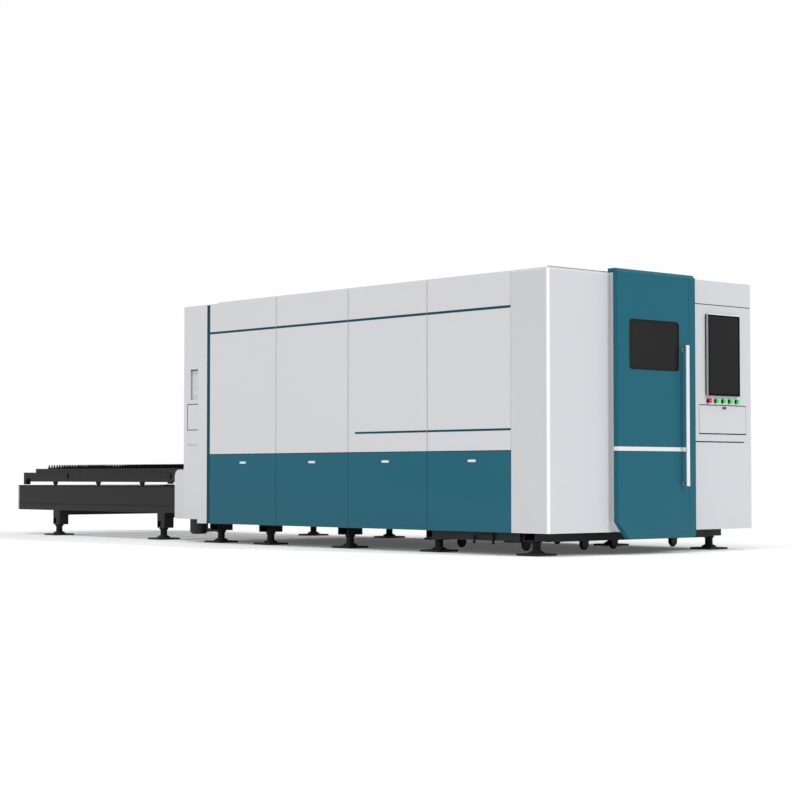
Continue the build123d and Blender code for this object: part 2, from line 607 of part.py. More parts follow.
# Sliding door: leaf with window opening, closing stile seam and rear cap
STILE_Y = DOOR_R - 84.5
with BuildPart() as door_leaf:
    with BuildSketch(Plane.YZ.offset(DOOR_X0)) as door_sketch:
        with BuildLine():
            Polyline(
                (DOOR_L, DOOR_BOT + DOOR_CUT_Z),
                (DOOR_L + DOOR_CUT_Y, DOOR_BOT),
                (DOOR_R, DOOR_BOT),
                (DOOR_R, DOOR_TOP),
                (DOOR_L, DOOR_TOP),
                close=True,
            )
        make_face()
        corner = door_sketch.vertices().sort_by_distance((DOOR_X0, DOOR_R, DOOR_TOP))[0]
        fillet(corner, 36)
        with Locations(((WIN[0] + WIN[1]) / 2, (WIN[2] + WIN[3]) / 2)):
            RectangleRounded(WIN[1] - WIN[0] + 20, WIN[3] - WIN[2] + 20, 32, mode=Mode.SUBTRACT)
    extrude(amount=DOOR_T)
    top_front = door_leaf.edges().filter_by(Axis.Y).sort_by_distance((DOOR_X1, 0, DOOR_TOP))[0]
    chamfer(top_front, 28)
    left_front = door_leaf.edges().filter_by(Axis.Z).sort_by_distance((DOOR_X1, DOOR_L, DOOR_TOP / 2))[0]
    chamfer(left_front, 6)
    block(CAP_BACK, DOOR_X0, DOOR_L, DOOR_R - 36, DOOR_TOP - CAP_T, DOOR_TOP)
    block(DOOR_X1 - 3, DOOR_X1 + 1, STILE_Y, STILE_Y + 3, DOOR_BOT - 1, DOOR_TOP - 28, Mode.SUBTRACT)
finish_part(door_leaf, "door_leaf")

with BuildPart() as door_gasket:
    rounded_plate_x(DOOR_X1 - 40, DOOR_X1 + 1, WIN[0] - 10, WIN[1] + 10, WIN[2] - 10, WIN[3] + 10, 32)
    rounded_plate_x(DOOR_X1 - 41, DOOR_X1 + 3, WIN[0], WIN[1], WIN[2], WIN[3], 22, Mode.SUBTRACT)
finish_part(door_gasket, "door_gasket")

with BuildPart() as door_window:
    rounded_plate_x(DOOR_X1 - 16, DOOR_X1 - 4, WIN[0], WIN[1], WIN[2], WIN[3], 22)
finish_part(door_window, "door_window")

# Pull bar with two standoffs, and the flat stripe in the same paint
with BuildPart() as door_handle:
    with BuildSketch(Plane.YZ.offset(HANDLE_FRONT - 12)):
        with Locations((HANDLE_Y, (HANDLE_Z[0] + HANDLE_Z[1]) / 2)):
            RectangleRounded(32, HANDLE_Z[1] - HANDLE_Z[0], 5)
    extrude(amount=12)
    with BuildSketch(Plane.YZ.offset(DOOR_X1)):
        with Locations((HANDLE_Y, HANDLE_Z[0] + 25), (HANDLE_Y, HANDLE_Z[1] - 37)):
            RegularPolygon(10, 16)
    extrude(amount=HANDLE_FRONT - 12 - DOOR_X1)
    block(DOOR_X1, DOOR_X1 + 1.5, DOOR_L + 7, HANDLE_Y + 37, STRIPE_Z, STRIPE_Z + 33)
    block(DOOR_X0 + 2, DOOR_X1 - 7, DOOR_L - 1.5, DOOR_L, STRIPE_Z, STRIPE_Z + 33)
finish_part(door_handle, "door_handle")

# Near lower doors, hinged at the bottom edge, each with a rounded latch bar
LATCH_XS = [SEAM_XS[0] + 516, SEAM_XS[1] + 515, SEAM_XS[2] + 489, SEAM_XS[3] + 533]
LATCH_Z = SPLIT_Z - 78
for bay in range(4):
    with BuildPart() as low_door:
        block(
            SEAM_XS[bay] + SEAM / 2,
            SEAM_XS[bay + 1] - SEAM / 2,
            -HALF_W,
            -PANEL_IN,
            WALL_BOT,
            SPLIT_Z - SEAM / 2,
        )
        vertical = low_door.edges().filter_by(Axis.Z).group_by(Axis.Y)[0]
        chamfer(vertical, 2)
        with BuildSketch(Plane.XZ.offset(HALF_W - 4)) as latch:
            with Locations((LATCH_XS[bay], LATCH_Z)):
                latch_plate = Rectangle(92, 20)
            chamfer(latch_plate.vertices(), 6)
        extrude(latch.sketch, amount=9)
    finish_part(low_door, "lower_door_" + str(bay + 1))

# Small hatch on the near rear column
with BuildPart() as column_hatch:
    block(HATCH[0], HATCH[1], -HALF_W, -HALF_W + 6, HATCH[2], HATCH[3])
    block(HATCH[0] + 12, HATCH[0] + 24, -HALF_W - 1, -HALF_W + 2, HATCH[2] + 103, HATCH[2] + 133, Mode.SUBTRACT)
finish_part(column_hatch, "column_hatch")

# Control cabinet: body with lower compartment and drawer bay
with BuildPart() as cabinet_body:
    block(CAB_X0, HOUSE_FRONT, CAB_Y0, HALF_W, CAB_BOT, CAB_TOP)
    block(HOUSE_FRONT - CAB_SKIN, HOUSE_FRONT + 1, CAB_Y0 - 1, HALF_W + 1, CAB_SEAM_TOP, CAB_TOP + 1, Mode.SUBTRACT)
    block(HOUSE_FRONT - CAB_SKIN, HOUSE_FRONT + 1, CAB_Y0 - 1, HALF_W + 1, CAB_BOT - 1, CAB_SEAM_LOW, Mode.SUBTRACT)
    block(CAB_X0 + 40, HOUSE_FRONT, CAB_Y0 + 40, HALF_W - 40, CAB_BOT + 40, CAB_SEAM_LOW - 40, Mode.SUBTRACT)
    block(
        HOUSE_FRONT - DRAWER_DEPTH - 10,
        HOUSE_FRONT + 1,
        DRAWER[0] - 4,
        DRAWER[1] + 4,
        DRAWER[2] - 1,
        DRAWER[3] + 4,
        Mode.SUBTRACT,
    )
    far_corner = cabinet_body.edges().filter_by(Axis.Z).sort_by_distance((HOUSE_FRONT, HALF_W, MON[2]))[0]
    fillet(far_corner, 8)
finish_part(cabinet_body, "cabinet_body")

with BuildPart() as cabinet_top_panel:
    block(HOUSE_FRONT - CAB_SKIN, HOUSE_FRONT, CAB_Y0, HALF_W, CAB_SEAM_TOP + 7, CAB_TOP)
    far_edge = cabinet_top_panel.edges().filter_by(Axis.Z).sort_by_distance((HOUSE_FRONT, HALF_W, CAB_TOP))[0]
    fillet(far_edge, 8)
finish_part(cabinet_top_panel, "cabinet_top_panel")

with BuildPart() as cabinet_door:
    block(HOUSE_FRONT - CAB_SKIN + RUN_GAP, HOUSE_FRONT, CAB_Y0 + 2, HALF_W - 3, CAB_BOT + 2, CAB_SEAM_LOW - 7)
finish_part(cabinet_door, "cabinet_door")

# Monitor
with BuildPart() as monitor_housing:
    rounded_plate_x(HOUSE_FRONT, HOUSE_FRONT + MON_T, MON[0], MON[1], MON[2], MON[3], 8)
    block(HOUSE_FRONT + MON_T - 4, HOUSE_FRONT + MON_T + 1, MON[0] + 5, MON[1] - 3, MON[2] + 5, MON[3] - 5, Mode.SUBTRACT)
finish_part(monitor_housing, "monitor_housing")

with BuildPart() as monitor_screen:
    block(HOUSE_FRONT + MON_T - 4, HOUSE_FRONT + MON_T - 1, MON[0] + 5, MON[1] - 3, MON[2] + 5, MON[3] - 5)
finish_part(monitor_screen, "monitor_screen")

# Collars round the push buttons
with BuildPart() as button_collars:
    with BuildSketch(Plane.YZ.offset(HOUSE_FRONT)):
        with Locations(*[(y, BUTTON_Z) for y in BUTTON_YS + [ESTOP_Y]]):
            RegularPolygon(BUTTON_R + 4, 12)
        with Locations(*[(y, BUTTON_Z) for y in BUTTON_YS + [ESTOP_Y]]):
            RegularPolygon(BUTTON_R + BUTTON_GAP, 12, mode=Mode.SUBTRACT)
    extrude(amount=16)
finish_part(button_collars, "button_collars")

for index in range(4):
    with BuildPart() as green_button:
        with BuildSketch(Plane.YZ.offset(HOUSE_FRONT + 5)):
            with Locations((BUTTON_YS[index], BUTTON_Z)):
                RegularPolygon(BUTTON_R, 12)
        extrude(amount=28)
    finish_part(green_button, "start_button_" + str(index + 1))

with BuildPart() as stop_button:
    with BuildSketch(Plane.YZ.offset(HOUSE_FRONT + 5)):
        with Locations((ESTOP_Y, BUTTON_Z)):
            RegularPolygon(BUTTON_R, 12)
    extrude(amount=17)
    with BuildSketch(Plane.YZ.offset(HOUSE_FRONT + 22)):
        with Locations((ESTOP_Y, BUTTON_Z)):
            RegularPolygon(20, 16)
    extrude(amount=13)
    rim = stop_button.faces().sort_by(Axis.X)[-1].edges()
    chamfer(rim, 3)
finish_part(stop_button, "stop_button")

# Keyboard drawer with keyboard, lock and key
with BuildPart() as keyboard_drawer:
    block(HOUSE_FRONT - 8, HOUSE_FRONT, DRAWER[0], DRAWER[1], DRAWER[2], DRAWER[3])
    block(HOUSE_FRONT - DRAWER_DEPTH, HOUSE_FRONT - 8, DRAWER[0] + 12, DRAWER[1] - 12, DRAWER[2] - 0.7, DRAWER[2] + 70)
    block(
        HOUSE_FRONT - DRAWER_DEPTH + 8,
        HOUSE_FRONT - 8,
        DRAWER[0] + 20,
        DRAWER[1] - 20,
        DRAWER[2] + 8,
        DRAWER[2] + 71,
        Mode.SUBTRACT,
    )
    with BuildSketch(Plane.YZ.offset(HOUSE_FRONT - 9)):
        with Locations((LOCK_Y, LOCK_Z)):
            RegularPolygon((LOCK_R + LOCK_GAP) / cos(pi / 20), 20)
    extrude(amount=12, mode=Mode.SUBTRACT)
finish_part(keyboard_drawer, "keyboard_drawer")

with BuildPart() as keyboard:
    block(HOUSE_FRONT - 200, HOUSE_FRONT - 50, DRAWER[0] + 60, DRAWER[1] - 120, DRAWER[2] + 8, DRAWER[2] + 26)
    for row in range(5):
        rx = HOUSE_FRONT - 190 + row * 27
        block(rx, rx + 22, DRAWER[0] + 70, DRAWER[1] - 130, DRAWER[2] + 26, DRAWER[2] + 31)
finish_part(keyboard, "keyboard")

with BuildPart() as lock_barrel:
    with BuildSketch(Plane.YZ.offset(HOUSE_FRONT - 20)):
        with Locations((LOCK_Y, LOCK_Z)):
            RegularPolygon(LOCK_R, 20)
    extrude(amount=24)
    block(HOUSE_FRONT - 6, HOUSE_FRONT + 5, LOCK_Y - 1.5, LOCK_Y + 1.5, LOCK_Z - 5, LOCK_Z + 5, Mode.SUBTRACT)
finish_part(lock_barrel, "lock_barrel")

with BuildPart() as lock_key:
    block(HOUSE_FRONT - 4, HOUSE_FRONT + 12, LOCK_Y - 1.2, LOCK_Y + 1.2, LOCK_Z - 4, LOCK_Z + 4)
    block(HOUSE_FRONT + 12, HOUSE_FRONT + 34, LOCK_Y - 1.2, LOCK_Y + 1.2, LOCK_Z - 12, LOCK_Z + 12)
finish_part(lock_key, "lock_key")

# Cutting motion: rails on the bed, gantry, carriage and head
with BuildPart() as gantry_rails:
    mid = (BEAM_IN + BEAM_OUT) / 2
    pair(RAIL_X[0], RAIL_X[1], mid - 17, mid + 17, BED_TOP, BED_TOP + RAIL_H)
    pair(RAIL_X[0], RAIL_X[1], mid + 22, mid + 52, BED_TOP, BED_TOP + 25)
finish_part(gantry_rails, "gantry_rails")

BLOCK_Z = BED_TOP + RAIL_H + RUN_GAP
BEAM_Z = BLOCK_Z + 50
with BuildPart() as gantry_beam:
    pair(GANTRY_X - 180, GANTRY_X + 180, BEAM_IN + 5, BEAM_OUT + 20, BLOCK_Z, BEAM_Z)
    with BuildSketch(Plane.XZ.offset(BEAM_OUT + 20)):
        with Locations((GANTRY_X, BEAM_Z + 120)):
            RectangleRounded(GANTRY_W, 240, 20)
    extrude(amount=-2 * (BEAM_OUT + 20))
    block(GANTRY_X - GANTRY_W / 2 + 14, GANTRY_X + GANTRY_W / 2 - 14, -PALLET_OUT, PALLET_OUT, BEAM_Z + 14, BEAM_Z + 226, Mode.SUBTRACT)
    for rail_z in [BEAM_Z + 50, BEAM_Z + 190]:
        block(GANTRY_X + GANTRY_W / 2, GANTRY_X + GANTRY_W / 2 + 15, -BEAM_OUT + 53, BEAM_OUT - 53, rail_z - 12, rail_z + 12)
finish_part(gantry_beam, "gantry_beam")

CARR_X = GANTRY_X + GANTRY_W / 2 + 15 + RUN_GAP
with BuildPart() as head_carriage:
    block(CARR_X, CARR_X + 30, -110, 110, BEAM_Z + 5, BEAM_Z + 300)
    block(CARR_X + 30, CARR_X + 45, -50, -30, BEAM_Z + 10, BEAM_Z + 290)
    block(CARR_X + 30, CARR_X + 45, 30, 50, BEAM_Z + 10, BEAM_Z + 290)
    block(CARR_X, CARR_X + 90, -45, 45, BEAM_Z + 300, BEAM_Z + 420)
finish_part(head_carriage, "head_carriage")

HEAD_X = CARR_X + 45 + RUN_GAP
HEAD_CX = HEAD_X + 55
with BuildPart() as cutting_head:
    block(HEAD_X, HEAD_X + 16, -60, 60, BEAM_Z - 90, BEAM_Z + 180)
    block(HEAD_X + 16, HEAD_X + 94, -48, 48, BEAM_Z - 80, BEAM_Z + 170)
    with BuildSketch(Plane.XY.offset(BEAM_Z - 80)):
        with Locations((HEAD_CX, 0)):
            RegularPolygon(34, 12)
    extrude(amount=-60)
    for level, radius in [(140, 28), (160, 20), (180, 9)]:
        with BuildSketch(Plane.XY.offset(BEAM_Z - level)) as neck:
            with Locations((HEAD_CX, 0)):
                RegularPolygon(radius, 10)
        extrude(neck.sketch, amount=-20 if level < 180 else -15)
finish_part(cutting_head, "cutting_head")

# Slag drawer that slides on ledges of the low frame, out towards the long side
SLAG_GAP = 3.0
SLAG_X = [MEMBER_1[1] + SLAG_GAP, MEMBER_2[0] - SLAG_GAP]
SLAG_Y = [-BASE_HALF - 3, BASE_HALF - 200]
SLAG_Z = [BASE_LOW + 4 + RUN_GAP, WALL_BOT - 6]
GRIP = [SLAG_X[0] + 390, SLAG_X[0] + 618]
with BuildPart() as slag_drawer:
    block(SLAG_X[0], SLAG_X[1], SLAG_Y[0], SLAG_Y[1], SLAG_Z[0], SLAG_Z[1])
    block(SLAG_X[0] + 4, SLAG_X[1] - 4, SLAG_Y[0] + 6, SLAG_Y[1] - 4, SLAG_Z[0] + 4, SLAG_Z[1] + 1, Mode.SUBTRACT)
    block(GRIP[0], GRIP[0] + 8, SLAG_Y[0] - 22, SLAG_Y[0], SLAG_Z[1] - 92, SLAG_Z[1] - 16)
    block(GRIP[1] - 8, GRIP[1], SLAG_Y[0] - 22, SLAG_Y[0], SLAG_Z[1] - 92, SLAG_Z[1] - 4)
    block(GRIP[0] + 8, GRIP[1] - 8, SLAG_Y[0] - 22, SLAG_Y[0] - 14, SLAG_Z[1] - 66, SLAG_Z[1] - 58)
    block(GRIP[0] + 8, GRIP[1] - 8, SLAG_Y[0] - 22, SLAG_Y[0] - 14, SLAG_Z[1] - 26, SLAG_Z[1] - 18)
finish_part(slag_drawer, "slag_drawer")

# Wheels of the transport casters
with BuildPart() as caster_wheels:
    for cx, cy in CASTERS:
        with BuildSketch(Plane.YZ.offset(cx - 14)):
            with Locations((cy, CASTER_Z)):
                RegularPolygon(CASTER_R, 10)
        extrude(amount=28)
finish_part(caster_wheels, "caster_wheels")
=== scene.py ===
import bpy
import bmesh
import json
import math
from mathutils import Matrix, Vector


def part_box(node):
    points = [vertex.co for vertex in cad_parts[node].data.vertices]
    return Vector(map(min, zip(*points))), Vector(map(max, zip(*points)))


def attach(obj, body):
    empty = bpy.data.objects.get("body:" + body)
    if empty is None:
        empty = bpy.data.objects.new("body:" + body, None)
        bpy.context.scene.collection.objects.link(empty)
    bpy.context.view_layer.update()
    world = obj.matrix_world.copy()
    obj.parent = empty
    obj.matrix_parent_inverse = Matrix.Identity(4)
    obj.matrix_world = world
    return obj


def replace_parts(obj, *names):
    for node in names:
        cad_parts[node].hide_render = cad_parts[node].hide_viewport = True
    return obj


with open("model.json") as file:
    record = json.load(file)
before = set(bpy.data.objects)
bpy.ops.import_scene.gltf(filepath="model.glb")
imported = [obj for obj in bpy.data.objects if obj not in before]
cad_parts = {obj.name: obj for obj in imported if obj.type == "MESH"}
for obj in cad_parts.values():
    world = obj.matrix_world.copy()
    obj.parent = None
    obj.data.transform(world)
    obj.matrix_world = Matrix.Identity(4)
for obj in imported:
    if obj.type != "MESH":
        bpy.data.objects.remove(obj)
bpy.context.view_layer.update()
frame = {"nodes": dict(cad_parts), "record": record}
nodes = frame["nodes"]

# All values in metres. +X runs to the operator end, -Y is the long side seen first, +Z is up.
NEAR_Y = -1.253
FRONT_X = 4.051
SEAM_XS = (-0.340, 0.661, 1.664, 2.670, 3.646)
SPLIT_Z = 0.831
WALL_BOT = 0.1835
WALL_TOP = 2.2385


# Material nodes
def new_mat(name):
    mat = bpy.data.materials.new(name)
    mat.use_nodes = True
    nt = mat.node_tree
    nt.nodes.clear()
    out = nt.nodes.new("ShaderNodeOutputMaterial")
    bsdf = nt.nodes.new("ShaderNodeBsdfPrincipled")
    nt.links.new(bsdf.outputs[0], out.inputs[0])
    return mat, nt, bsdf


def object_coord(nt):
    return nt.nodes.new("ShaderNodeTexCoord").outputs["Object"]


def noise(nt, coord, scale, detail=4.0, rough=0.55):
    node = nt.nodes.new("ShaderNodeTexNoise")
    node.inputs["Scale"].default_value = scale
    node.inputs["Detail"].default_value = detail
    node.inputs["Roughness"].default_value = rough
    nt.links.new(coord, node.inputs["Vector"])
    return node.outputs["Fac"]


def ramp(nt, fac, lo, hi, a, b):
    """Map a socket's range lo to hi onto a to b."""
    node = nt.nodes.new("ShaderNodeMapRange")
    node.inputs["From Min"].default_value = lo
    node.inputs["From Max"].default_value = hi
    node.inputs["To Min"].default_value = a
    node.inputs["To Max"].default_value = b
    nt.links.new(fac, node.inputs["Value"])
    return node.outputs[0]


def multiplied(nt, a, b):
    node = nt.nodes.new("ShaderNodeMath")
    node.operation = "MULTIPLY"
    nt.links.new(a, node.inputs[0])
    nt.links.new(b, node.inputs[1])
    return node.outputs[0]


def separated(nt, vector):
    node = nt.nodes.new("ShaderNodeSeparateXYZ")
    nt.links.new(vector, node.inputs[0])
    return node.outputs


def mixed(nt, fac, a, b):
    """Mix two colours, each a plain colour or a socket, by a socket."""
    node = nt.nodes.new("ShaderNodeMix")
    node.data_type = "RGBA"
    nt.links.new(fac, node.inputs[0])
    for value, slot in ((a, 6), (b, 7)):
        if isinstance(value, (tuple, list)):
            node.inputs[slot].default_value = (*value[:3], 1)
        else:
            nt.links.new(value, node.inputs[slot])
    return node.outputs[2]


def bumped(nt, bsdf, height, strength, distance):
    node = nt.nodes.new("ShaderNodeBump")
    node.inputs["Strength"].default_value = strength
    node.inputs["Distance"].default_value = distance
    nt.links.new(height, node.inputs["Height"])
    nt.links.new(node.outputs[0], bsdf.inputs["Normal"])


# Parts of a paint
DUST = (0.30, 0.285, 0.265)
DUST_Z = (0.02, 0.55)
LATCH_Y = (-1.2530, -1.2535)


def dusted(nt, coord, colour, amount, fine):
    """Dust that thins out from the floor upwards."""
    low = ramp(nt, separated(nt, coord)["Z"], DUST_Z[0], DUST_Z[1], amount, 0.0)
    return mixed(nt, multiplied(nt, low, fine), colour, DUST)


def lit_and_shaded_faces(nt, colour, shade_col, highlight_col):
    """Painted shade: another, shaded tone where the surface doesn't look along +X, and a painted highlight as
    a bright rim on the rounded corner.
    """
    normal = separated(nt, nt.nodes.new("ShaderNodeNewGeometry").outputs["Normal"])
    facing = ramp(nt, normal["X"], 0.2, 0.8, 0.0, 1.0)
    colour = mixed(nt, facing, shade_col, colour)
    rim = ramp(nt, multiplied(nt, normal["X"], normal["Y"]), -0.05, -0.22, 0.0, 1.0)
    return mixed(nt, rim, colour, highlight_col)


def edge_wear_and_highlight(nt, colour, amount, edge_col, width, fine):
    """Paler colour in patches along the edges: a painted highlight on the white, pale, teal and grey
    finishes, and real wear on the black frame.
    """
    bevel = nt.nodes.new("ShaderNodeBevel")
    bevel.samples = 4
    bevel.inputs["Radius"].default_value = width
    dot = nt.nodes.new("ShaderNodeVectorMath")
    dot.operation = "DOT_PRODUCT"
    nt.links.new(bevel.outputs[0], dot.inputs[0])
    nt.links.new(nt.nodes.new("ShaderNodeNewGeometry").outputs["Normal"], dot.inputs[1])
    rub = ramp(nt, dot.outputs["Value"], 0.98, 0.85, 0.0, amount)
    patch = ramp(nt, fine, 0.35, 0.6, 0.2, 1.0)
    return mixed(nt, multiplied(nt, rub, patch), colour, edge_col)


def paint(name, col, rough=0.42, vary=0.02, peel=0.05, peel_scale=700.0, spec=0.5, coat=0.0,
          dust=0.0, edge=0.0, edge_col=None, edge_width=0.004, latch=None, turned=None):
    """Sprayed or moulded finish: cloudy tone and orange peel, with dust, paler edges (painted highlight, real
    wear on the black frame) and painted shade and highlight on turned faces where set.
    """
    mat, nt, bsdf = new_mat(name)
    coord = object_coord(nt)
    cloud = noise(nt, coord, 1.3, 5.0)
    fine = noise(nt, coord, 34.0)
    darker = [c * (1 - vary) for c in col]
    paler = [min(1.0, c * (1 + vary)) for c in col]
    colour = mixed(nt, cloud, darker, paler)
    if dust > 0:
        colour = dusted(nt, coord, colour, dust, fine)
    if latch:
        plate = ramp(nt, separated(nt, coord)["Y"], LATCH_Y[0], LATCH_Y[1], 0.0, 1.0)
        colour = mixed(nt, plate, colour, latch)
    if turned:
        colour = lit_and_shaded_faces(nt, colour, turned, edge_col)
    if edge > 0:
        colour = edge_wear_and_highlight(nt, colour, edge, edge_col, edge_width, fine)
    nt.links.new(colour, bsdf.inputs["Base Color"])
    nt.links.new(ramp(nt, fine, 0.3, 0.7, rough - 0.04, rough + 0.06), bsdf.inputs["Roughness"])
    bsdf.inputs["Specular IOR Level"].default_value = spec
    bsdf.inputs["Coat Weight"].default_value = coat
    bsdf.inputs["Coat Roughness"].default_value = 0.2
    bumped(nt, bsdf, noise(nt, coord, peel_scale, 2.0), peel, 0.0006)
    return mat


def steel(name, col, rough=0.35, stretch=(1, 60, 60), rust=0.0):
    """Bare metal with drawn streaks and, where rust is set, burnt blotches."""
    mat, nt, bsdf = new_mat(name)
    coord = object_coord(nt)
    mapping = nt.nodes.new("ShaderNodeMapping")
    mapping.inputs["Scale"].default_value = stretch
    nt.links.new(coord, mapping.inputs[0])
    streak = noise(nt, mapping.outputs[0], 12.0)
    blotch = noise(nt, coord, 6.0, 6.0, 0.65)
    colour = mixed(nt, streak, [c * 0.75 for c in col], [min(1, c * 1.2) for c in col])
    if rust > 0:
        colour = mixed(nt, ramp(nt, blotch, 0.45, 0.7, 0.0, rust), colour, (0.035, 0.022, 0.017))
    nt.links.new(colour, bsdf.inputs["Base Color"])
    nt.links.new(ramp(nt, blotch, 0.3, 0.7, rough - 0.08, rough + 0.12), bsdf.inputs["Roughness"])
    bsdf.inputs["Metallic"].default_value = 1.0
    bumped(nt, bsdf, streak, 0.08, 0.0008)
    return mat


def pane(name, col, rough, spec):
    """Dark pane with faint wiping marks."""
    mat, nt, bsdf = new_mat(name)
    smear = noise(nt, object_coord(nt), 5.0)
    nt.links.new(ramp(nt, smear, 0.35, 0.7, rough, rough + 0.08), bsdf.inputs["Roughness"])
    tone = mixed(nt, smear, [c * 0.9 for c in col], [c * 1.1 for c in col])
    nt.links.new(tone, bsdf.inputs["Base Color"])
    bsdf.inputs["Specular IOR Level"].default_value = spec
    return mat


# Finishes
PALE = (0.672, 0.670, 0.683)
# WHITE is bluer than PALE as painted light: the cooler light on the front faces is painted into its colour.
WHITE = (0.632, 0.640, 0.666)
# WHITE_SHADED is WHITE's shaded copy for the faces that turn away from +X, painted shade.
WHITE_SHADED = (0.622, 0.621, 0.632)
TEAL = (0.0075, 0.117, 0.166)
STRIPE = (0.001, 0.060, 0.088)
FRAME_BLACK = (0.0125, 0.0125, 0.0130)
BARE_WHITE = (0.80, 0.775, 0.78)
# Where edge is set, the paler edges are a painted highlight, except on the black frame paint, where they are
# real wear.
HOUSING = dict(vary=0.008, spec=0.3, dust=0.06)
DOOR = dict(rough=0.38, vary=0.03, spec=0.22, dust=0.04, edge=0.55, edge_col=(0.03, 0.22, 0.29))
CAP = dict(rough=0.28, vary=0.05, spec=0.3, coat=0.2)
MATS = {
    "pale_grey_paint": paint("pale_grey_paint", PALE, 0.42, edge=0.5, edge_col=(0.8, 0.8, 0.81), **HOUSING),
    "white_paint": paint("white_paint", WHITE, 0.40, edge=0.5, edge_col=(0.82, 0.83, 0.84), **HOUSING),
    "teal_paint": paint("teal_paint", TEAL, **DOOR),
    "stripe_paint": paint("stripe_paint", STRIPE, spec=0.15),
    "black_frame_paint": paint("black_frame_paint", FRAME_BLACK, 0.5, 0.12, 0.12, 450.0, spec=0.3,
                               dust=0.06, edge=0.3, edge_col=(0.07, 0.07, 0.072)),
    "slat_steel": steel("slat_steel", (0.018, 0.0175, 0.0175), 0.6, (1, 8, 60), 0.6),
    "machined_steel": steel("machined_steel", (0.5, 0.5, 0.51), 0.3),
    "handle_paint": paint("handle_paint", BARE_WHITE, 0.33, 0.01, spec=0.4, coat=0.1),
    "dark_window": pane("dark_window", (0.0165, 0.0165, 0.0165), 0.10, 0.16),
    "screen_glass": pane("screen_glass", (0.0155, 0.0155, 0.0155), 0.07, 0.16),
    "seal_rubber": paint("seal_rubber", (0.012, 0.009, 0.008), 0.7, 0.1, 0.1, 400.0, spec=0.2),
    "black_plastic": paint("black_plastic", (0.0035, 0.0035, 0.0035), 0.5, 0.08, 0.08, 1200.0, spec=0.06),
    "red_plastic": paint("red_plastic", (0.86, 0.004, 0.006), **CAP),
    "green_plastic": paint("green_plastic", (0.0, 0.86, 0.05), **CAP),
    "lock_chrome": steel("lock_chrome", (0.16, 0.16, 0.165), 0.3, (1, 20, 20)),
    # grey_plastic's white edges are a painted highlight; it also colours the grey sheets of painted shade in
    # the recess and on the door surround.
    "grey_plastic": paint("grey_plastic", (0.46, 0.46, 0.47), 0.4, 0.03, 0.06, 1200.0,
                          edge=0.7, edge_col=(0.95, 0.95, 0.95)),
}
LATCHED = paint("latched_door_paint", TEAL, latch=BARE_WHITE, **DOOR)
# Corner cover: painted shade on the faces turned from +X, and a painted highlight on its rim and its broad
# pale edges.
CORNER = paint("corner_cover_shaded_paint", WHITE, 0.40, edge=1.0, edge_col=(0.93, 0.93, 0.94), edge_width=0.012,
               turned=WHITE_SHADED, **HOUSING)
slot_of = {row["node"]: row["material_slot"] for row in frame["record"]["subparts"]}


def finish_of(name):
    if name.startswith("lower_door"):
        return LATCHED
    if name == "corner_cover":
        return CORNER
    return MATS[slot_of[name]]


for name, obj in nodes.items():
    obj.data.materials.clear()
    obj.data.materials.append(finish_of(name))


# Softened edges on the solids
def round_edges(name, width):
    mod = nodes[name].modifiers.new("soft", "BEVEL")
    mod.width = width
    mod.segments = 2
    mod.limit_method = "ANGLE"
    mod.angle_limit = math.radians(30)
    mod.harden_normals = False


SHEET_EDGE = 0.0015
PLATE_EDGE = 0.0012
FRAME_EDGE = 0.002
SHEETS = ("corner_cover", "cabinet_body", "cabinet_top_panel")
PLATES = ("foot_plates", "door_leaf", "door_surround", "shuttle_covers", "keyboard_drawer", "cabinet_door",
          "monitor_housing")
FRAMES = ("foot_brackets", "shuttle_frame", "front_base_frame", "pallet_upper_frame", "pallet_lower_frame",
          "slag_drawer", "bed_tracks")
for name in nodes:
    if name.startswith(("upper_panel", "lower_door", "far_")) or name in SHEETS:
        round_edges(name, SHEET_EDGE)
    if name in PLATES:
        round_edges(name, PLATE_EDGE)
    if name in FRAMES:
        round_edges(name, FRAME_EDGE)


